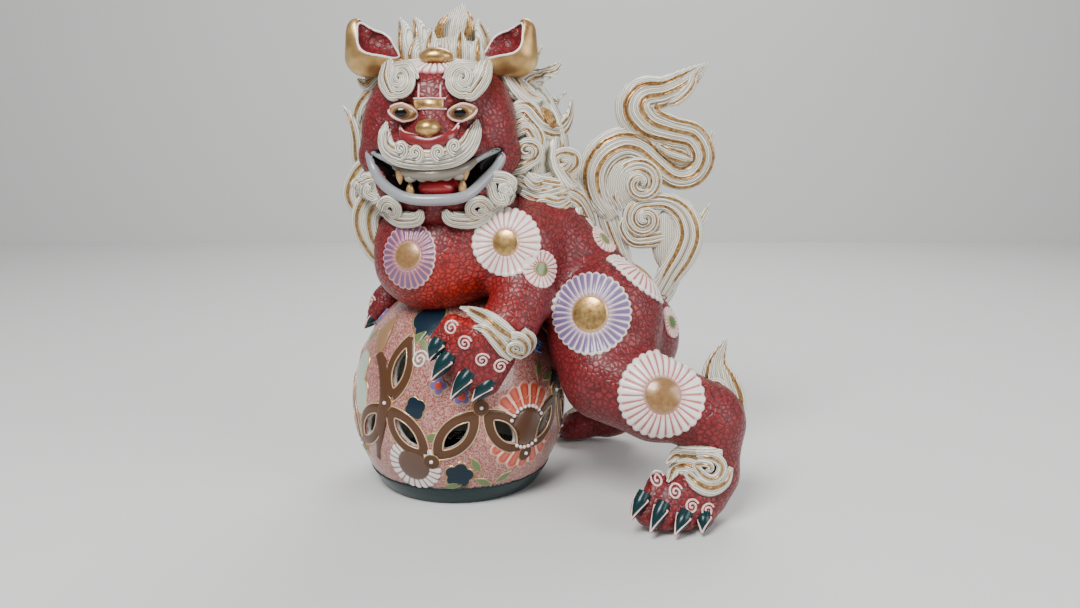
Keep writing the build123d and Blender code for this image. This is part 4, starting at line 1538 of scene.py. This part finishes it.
def foot_form(p):
    """The dark band that the ball stands on, a little proud of its wall."""
    d = np.maximum(ball_form(p) - 0.8, -ball_inset(WALL)(p))
    return np.maximum(d, np.abs(p[:, 2] - FOOT_HEIGHT / 2) - FOOT_HEIGHT / 2)


v, q = net(foot_form, (-88, -88, -2), (88, 88, 20), mesh_step(1.6))
Heap().add(v, [q], paint=vec(0.003, 0.020, 0.022), gold=0.0).make("foot_band", DEEP_GREEN, "ball_foot_ring")


def on_ball(points, lift):
    """(bearing, z, half width) rows as knots on the ball and their outward normals."""
    p = np.array(points, float)
    seat = ball_point(p[:, 0], p[:, 1])
    out = unit(gradient(ball_form, seat))
    return np.hstack([seat + out * lift, p[:, 2:3]]), out


def band(heap, laid, colour, thick):
    """A smooth bronze band along knots laid on the ball."""
    ribbon(heap, *laid, ridges=1, depth=0, thick=thick, gold=(), colour=colour, step=0.9, around=20)


def blot(heap, bearing, z, outline, colour, rise=0.5, edge=None, around=96, rings=8, inner=None, paint=None):
    """An enamel field on the ball; outline is its radius in mm by angle, edge the gilt share of it."""
    a = math.radians(bearing)
    centre = ball_point(bearing, z)
    way = -vec(math.cos(a), math.sin(a), 0)

    def colours(share, angle):
        line = smoothstep(1 - edge, 1 - edge * 0.7, share) if edge else np.zeros(len(share))
        return mix(colour, (0.70, 0.50, 0.28), line), line

    patch(heap, ball_form, centre, way, UP, outline, paint or colours, inner=inner, rise=rise, rings=rings,
          around=around, holes=lambda p: cutters(p) - 0.8)


def lobes(radius, count, depth, turn=0.0, wide=1.0):
    """A flower's outline: radius by angle, with so many petals parted by notches of a depth share."""
    return lambda a: radius * (1 - depth + depth * scallops(a + turn, count)) * oval(a, wide)


def leafy(radius, turn, slim=0.36):
    """A leaf about its middle: a long thin radius outline turned by degrees."""

    def outline(a):
        t = np.radians(a - turn)
        return radius * slim / np.sqrt(np.abs(np.sin(t)) ** 1.3 + slim**2 * np.abs(np.cos(t)) ** 1.3)

    return outline


def pearl(heap, at, z, radius, lift):
    """A white bead on the ball, left out where the wall is pierced."""
    spot = ball_point(at, z)
    if cutters(spot[None])[0] < 1.0:
        return
    dome(heap, spot + unit(spot * vec(1, 1, 0)) * lift, (radius,) * 3, unit(spot), plain(WHITE), 8, 12)


heap = Heap()
for at, z, lean in WINDOWS:  # a bronze frame with a pale gilt line along either edge
    band(heap, leaf_line(at, z, lean, grow=3.6, width=4.0, lift=0.2), BRONZE, thick=0.30)
    for grow, lift in ((0.2, 1.0), (7.4, 0.5)):
        k, out = leaf_line(at, z, lean, grow, width=0.6, lift=lift)
        pipe(heap, k, PALE_GOLD, gold=0.5, around=8, step=1.2)
for i in range(BELT):  # joints between the piercings, each with a pearl
    at, z = BELT_START + (i + 0.5) * 360 / BELT, 87 if i % 2 else 43
    blot(heap, at, z, 7.0, BRONZE, rise=1.5, around=40, edge=0.14)
    pearl(heap, at, z, 1.5, 2.2)
for points, tint in (
    ([(-143, 149, 1), (-144, 138, 8), (-141, 127, 6), (-139, 119, 2)], (0.26, 0.15, 0.075)),
    ([(-140, 121, 4), (-131, 110, 5.5), (-127, 88, 5.5), (-130, 66, 5.5), (-137, 36, 2.5)], BRONZE),
    ([(61, 98, 3), (63, 90, 4), (66, 82, 3)], BRONZE),
    ([(149, 98, 3), (147, 90, 4), (144, 82, 3)], BRONZE),
):
    band(heap, on_ball(points, 0.2), tint, thick=0.28)
heap.make("ball_bronze_bands", (DARK, "gilding"))


def chrysanthemum(share, angle):
    """Coral petals with a darker rib and pale edges."""
    wave = scallops(angle, 18)
    inside = smoothstep(0.25, 0.45, wave) * smoothstep(0.96, 0.90, share)
    rgb = mix((0.86, 0.60, 0.44), CORAL, inside)
    rgb = mix(rgb, (0.60, 0.13, 0.07), inside * smoothstep(0.78, 0.95, wave) * smoothstep(0.9, 0.7, share))
    return rgb, np.zeros(len(share))


def white_daisy(share, angle):
    """White petals parted by brown lines."""
    return mix((0.30, 0.16, 0.12), WHITE, smoothstep(0.28, 0.5, scallops(angle, 22))), np.zeros(len(share))


PEARLS, PEARL_RING = 26, 17  # beads round a chrysanthemum's middle, and their ring's radius
heap, navy = Heap(), Heap()
for at, z in ((-49, 66), (74, 66), (170, 70)):
    blot(heap, at, z, lobes(37, 18, 0.10, wide=0.95), CORAL, around=216, rings=14, inner=16,
         paint=chrysanthemum, rise=0.7)
    blot(heap, at, z, lobes(26, 18, 0.12, 10), CORAL, around=216, rings=10, inner=15, paint=chrysanthemum,
         rise=1.1)
    blot(heap, at, z, 15.5, BRONZE, rise=1.9, around=64)
    for a in np.arange(PEARLS) * 2 * math.pi / PEARLS:
        pearl(heap, at + np.degrees(PEARL_RING * math.cos(a) / BALL_R), z + PEARL_RING * math.sin(a), 1.5,
              1.6)
for at, z in ((-111, 38), (16, 38), (128, 38)):
    blot(heap, at, z, lobes(22.5, 22, 0.07), WHITE, around=220, rings=10, inner=13, paint=white_daisy,
         rise=1.0)
    blot(heap, at, z, 14, BRONZE, rise=1.5, around=64)
for at, z, radius, count, turn in (
    (-109, 149, 15, 5, 0), (-108, 86, 10, 4, 20), (-86, 30, 13, 5, 30), (-20, 92, 13, 5, 0),
    (30, 100, 13, 5, 40), (100, 112, 14, 5, 10), (140, 36, 12, 4, 0), (-170, 60, 12, 5, 0),
    (0, 30, 12, 5, 20), (52, 34, 12, 5, 0),
):
    blot(navy, at, z, lobes(radius, count, 0.22, turn), NAVY, edge=0.12)
for at, z, turn in (
    (-113, 137, 40), (-106, 132, -30), (-99, 64, 20), (-94, 58, 80), (-77, 39, 120), (-90, 20, 10),
    (-35, 108, 60), (-28, 100, 10), (-72, 22, 150), (-60, 24, 30), (20, 76, 40), (44, 120, 100),
    (84, 118, 20), (112, 80, 70), (158, 100, 30), (-160, 130, 60), (-8, 56, 20), (34, 22, 50), (96, 24, 160),
    (-152, 34, 20),
):
    blot(heap, at, z, leafy(9.5, turn), LEAF, edge=0.16, around=60)
for at, z, turn in ((-96, 104, 45), (-84, 96, 0), (12, 112, 45), (120, 130, 0), (-176, 112, 20)):
    blot(heap, at, z, lobes(8.5, 4, 0.4, turn), LILAC, edge=0.16, around=64)
    blot(heap, at, z, 3.2, CORAL, rise=0.9, around=24)
for at, z in ((-150, 84), (-156, 104)):
    blot(heap, at, z, lobes(17, 4, 0.05, 0, 0.8), CELADON, edge=0.06)
for at, z, tint in ((-108, 122, WHITE), (-28, 124, BLUE), (64, 140, WHITE), (176, 140, BLUE)):
    a = math.radians(at)
    spiral(heap, ball_form, ball_point(at, z), 7, right=(-math.sin(a), math.cos(a), 0),
           way=(-math.cos(a), -math.sin(a), 0), turns=2.0, start=0, colour=tint, lift=0.4, line=0.95, n=40,
           step=0.8)
heap.make("ball_enamels", RELIEF)
navy.make("ball_navy_fields", DEEP_GREEN)

# Floor, light, camera ---------------------------------------------------------------------------------
def stage():
    """A pale floor and wall, three soft lamps and the camera; places here are in metres from the axis."""
    m, tree, shader = material("pale_studio")
    shader.inputs["Base Color"].default_value = (0.62, 0.62, 0.61, 1)
    shader.inputs["Roughness"].default_value = 0.8
    for name, (x, y, z), tilt in (("floor", (0, 0, 0), 0), ("backdrop", (0, 1.6, 2), math.pi / 2)):
        bpy.ops.mesh.primitive_plane_add(size=8, location=(AXIS[0] + x, AXIS[1] + y, z),
                                         rotation=(tilt, 0, 0))
        sheet = bpy.context.object
        sheet.name = name
        sheet.data.materials.append(m)
    aim = Vector((0.05, 0, 0.2))
    for name, spot, size, power in (
        ("key", (-0.5, -1.2, 1.7), 0.8, 58),
        ("fill", (1.5, -0.9, 0.9), 1.1, 20),
        ("rim", (0.4, 1.2, 1.6), 1.0, 24),
    ):
        data = bpy.data.lights.new(name, "AREA")
        data.size, data.energy = size, power
        lamp = bpy.data.objects.new(name, data)
        bpy.context.scene.collection.objects.link(lamp)
        lamp.location = Vector(spot) + Vector(AXIS)
        lamp.rotation_euler = (aim - Vector(spot)).to_track_quat("-Z", "Y").to_euler()
    world = bpy.data.worlds.new("studio")
    bpy.context.scene.world = world
    world.use_nodes = True
    world.node_tree.nodes["Background"].inputs[0].default_value = (0.80, 0.82, 0.85, 1)
    world.node_tree.nodes["Background"].inputs[1].default_value = 0.30
    data = bpy.data.cameras.new("camera")
    data.sensor_width, data.lens = 36, 31.6667
    camera = bpy.data.objects.new("camera", data)
    bpy.context.scene.collection.objects.link(camera)
    camera.location = Vector((0.0695, -0.792, 0.306)) + Vector(AXIS)
    camera.rotation_euler = (math.radians(79), 0, 0)
    bpy.context.scene.camera = camera


stage()
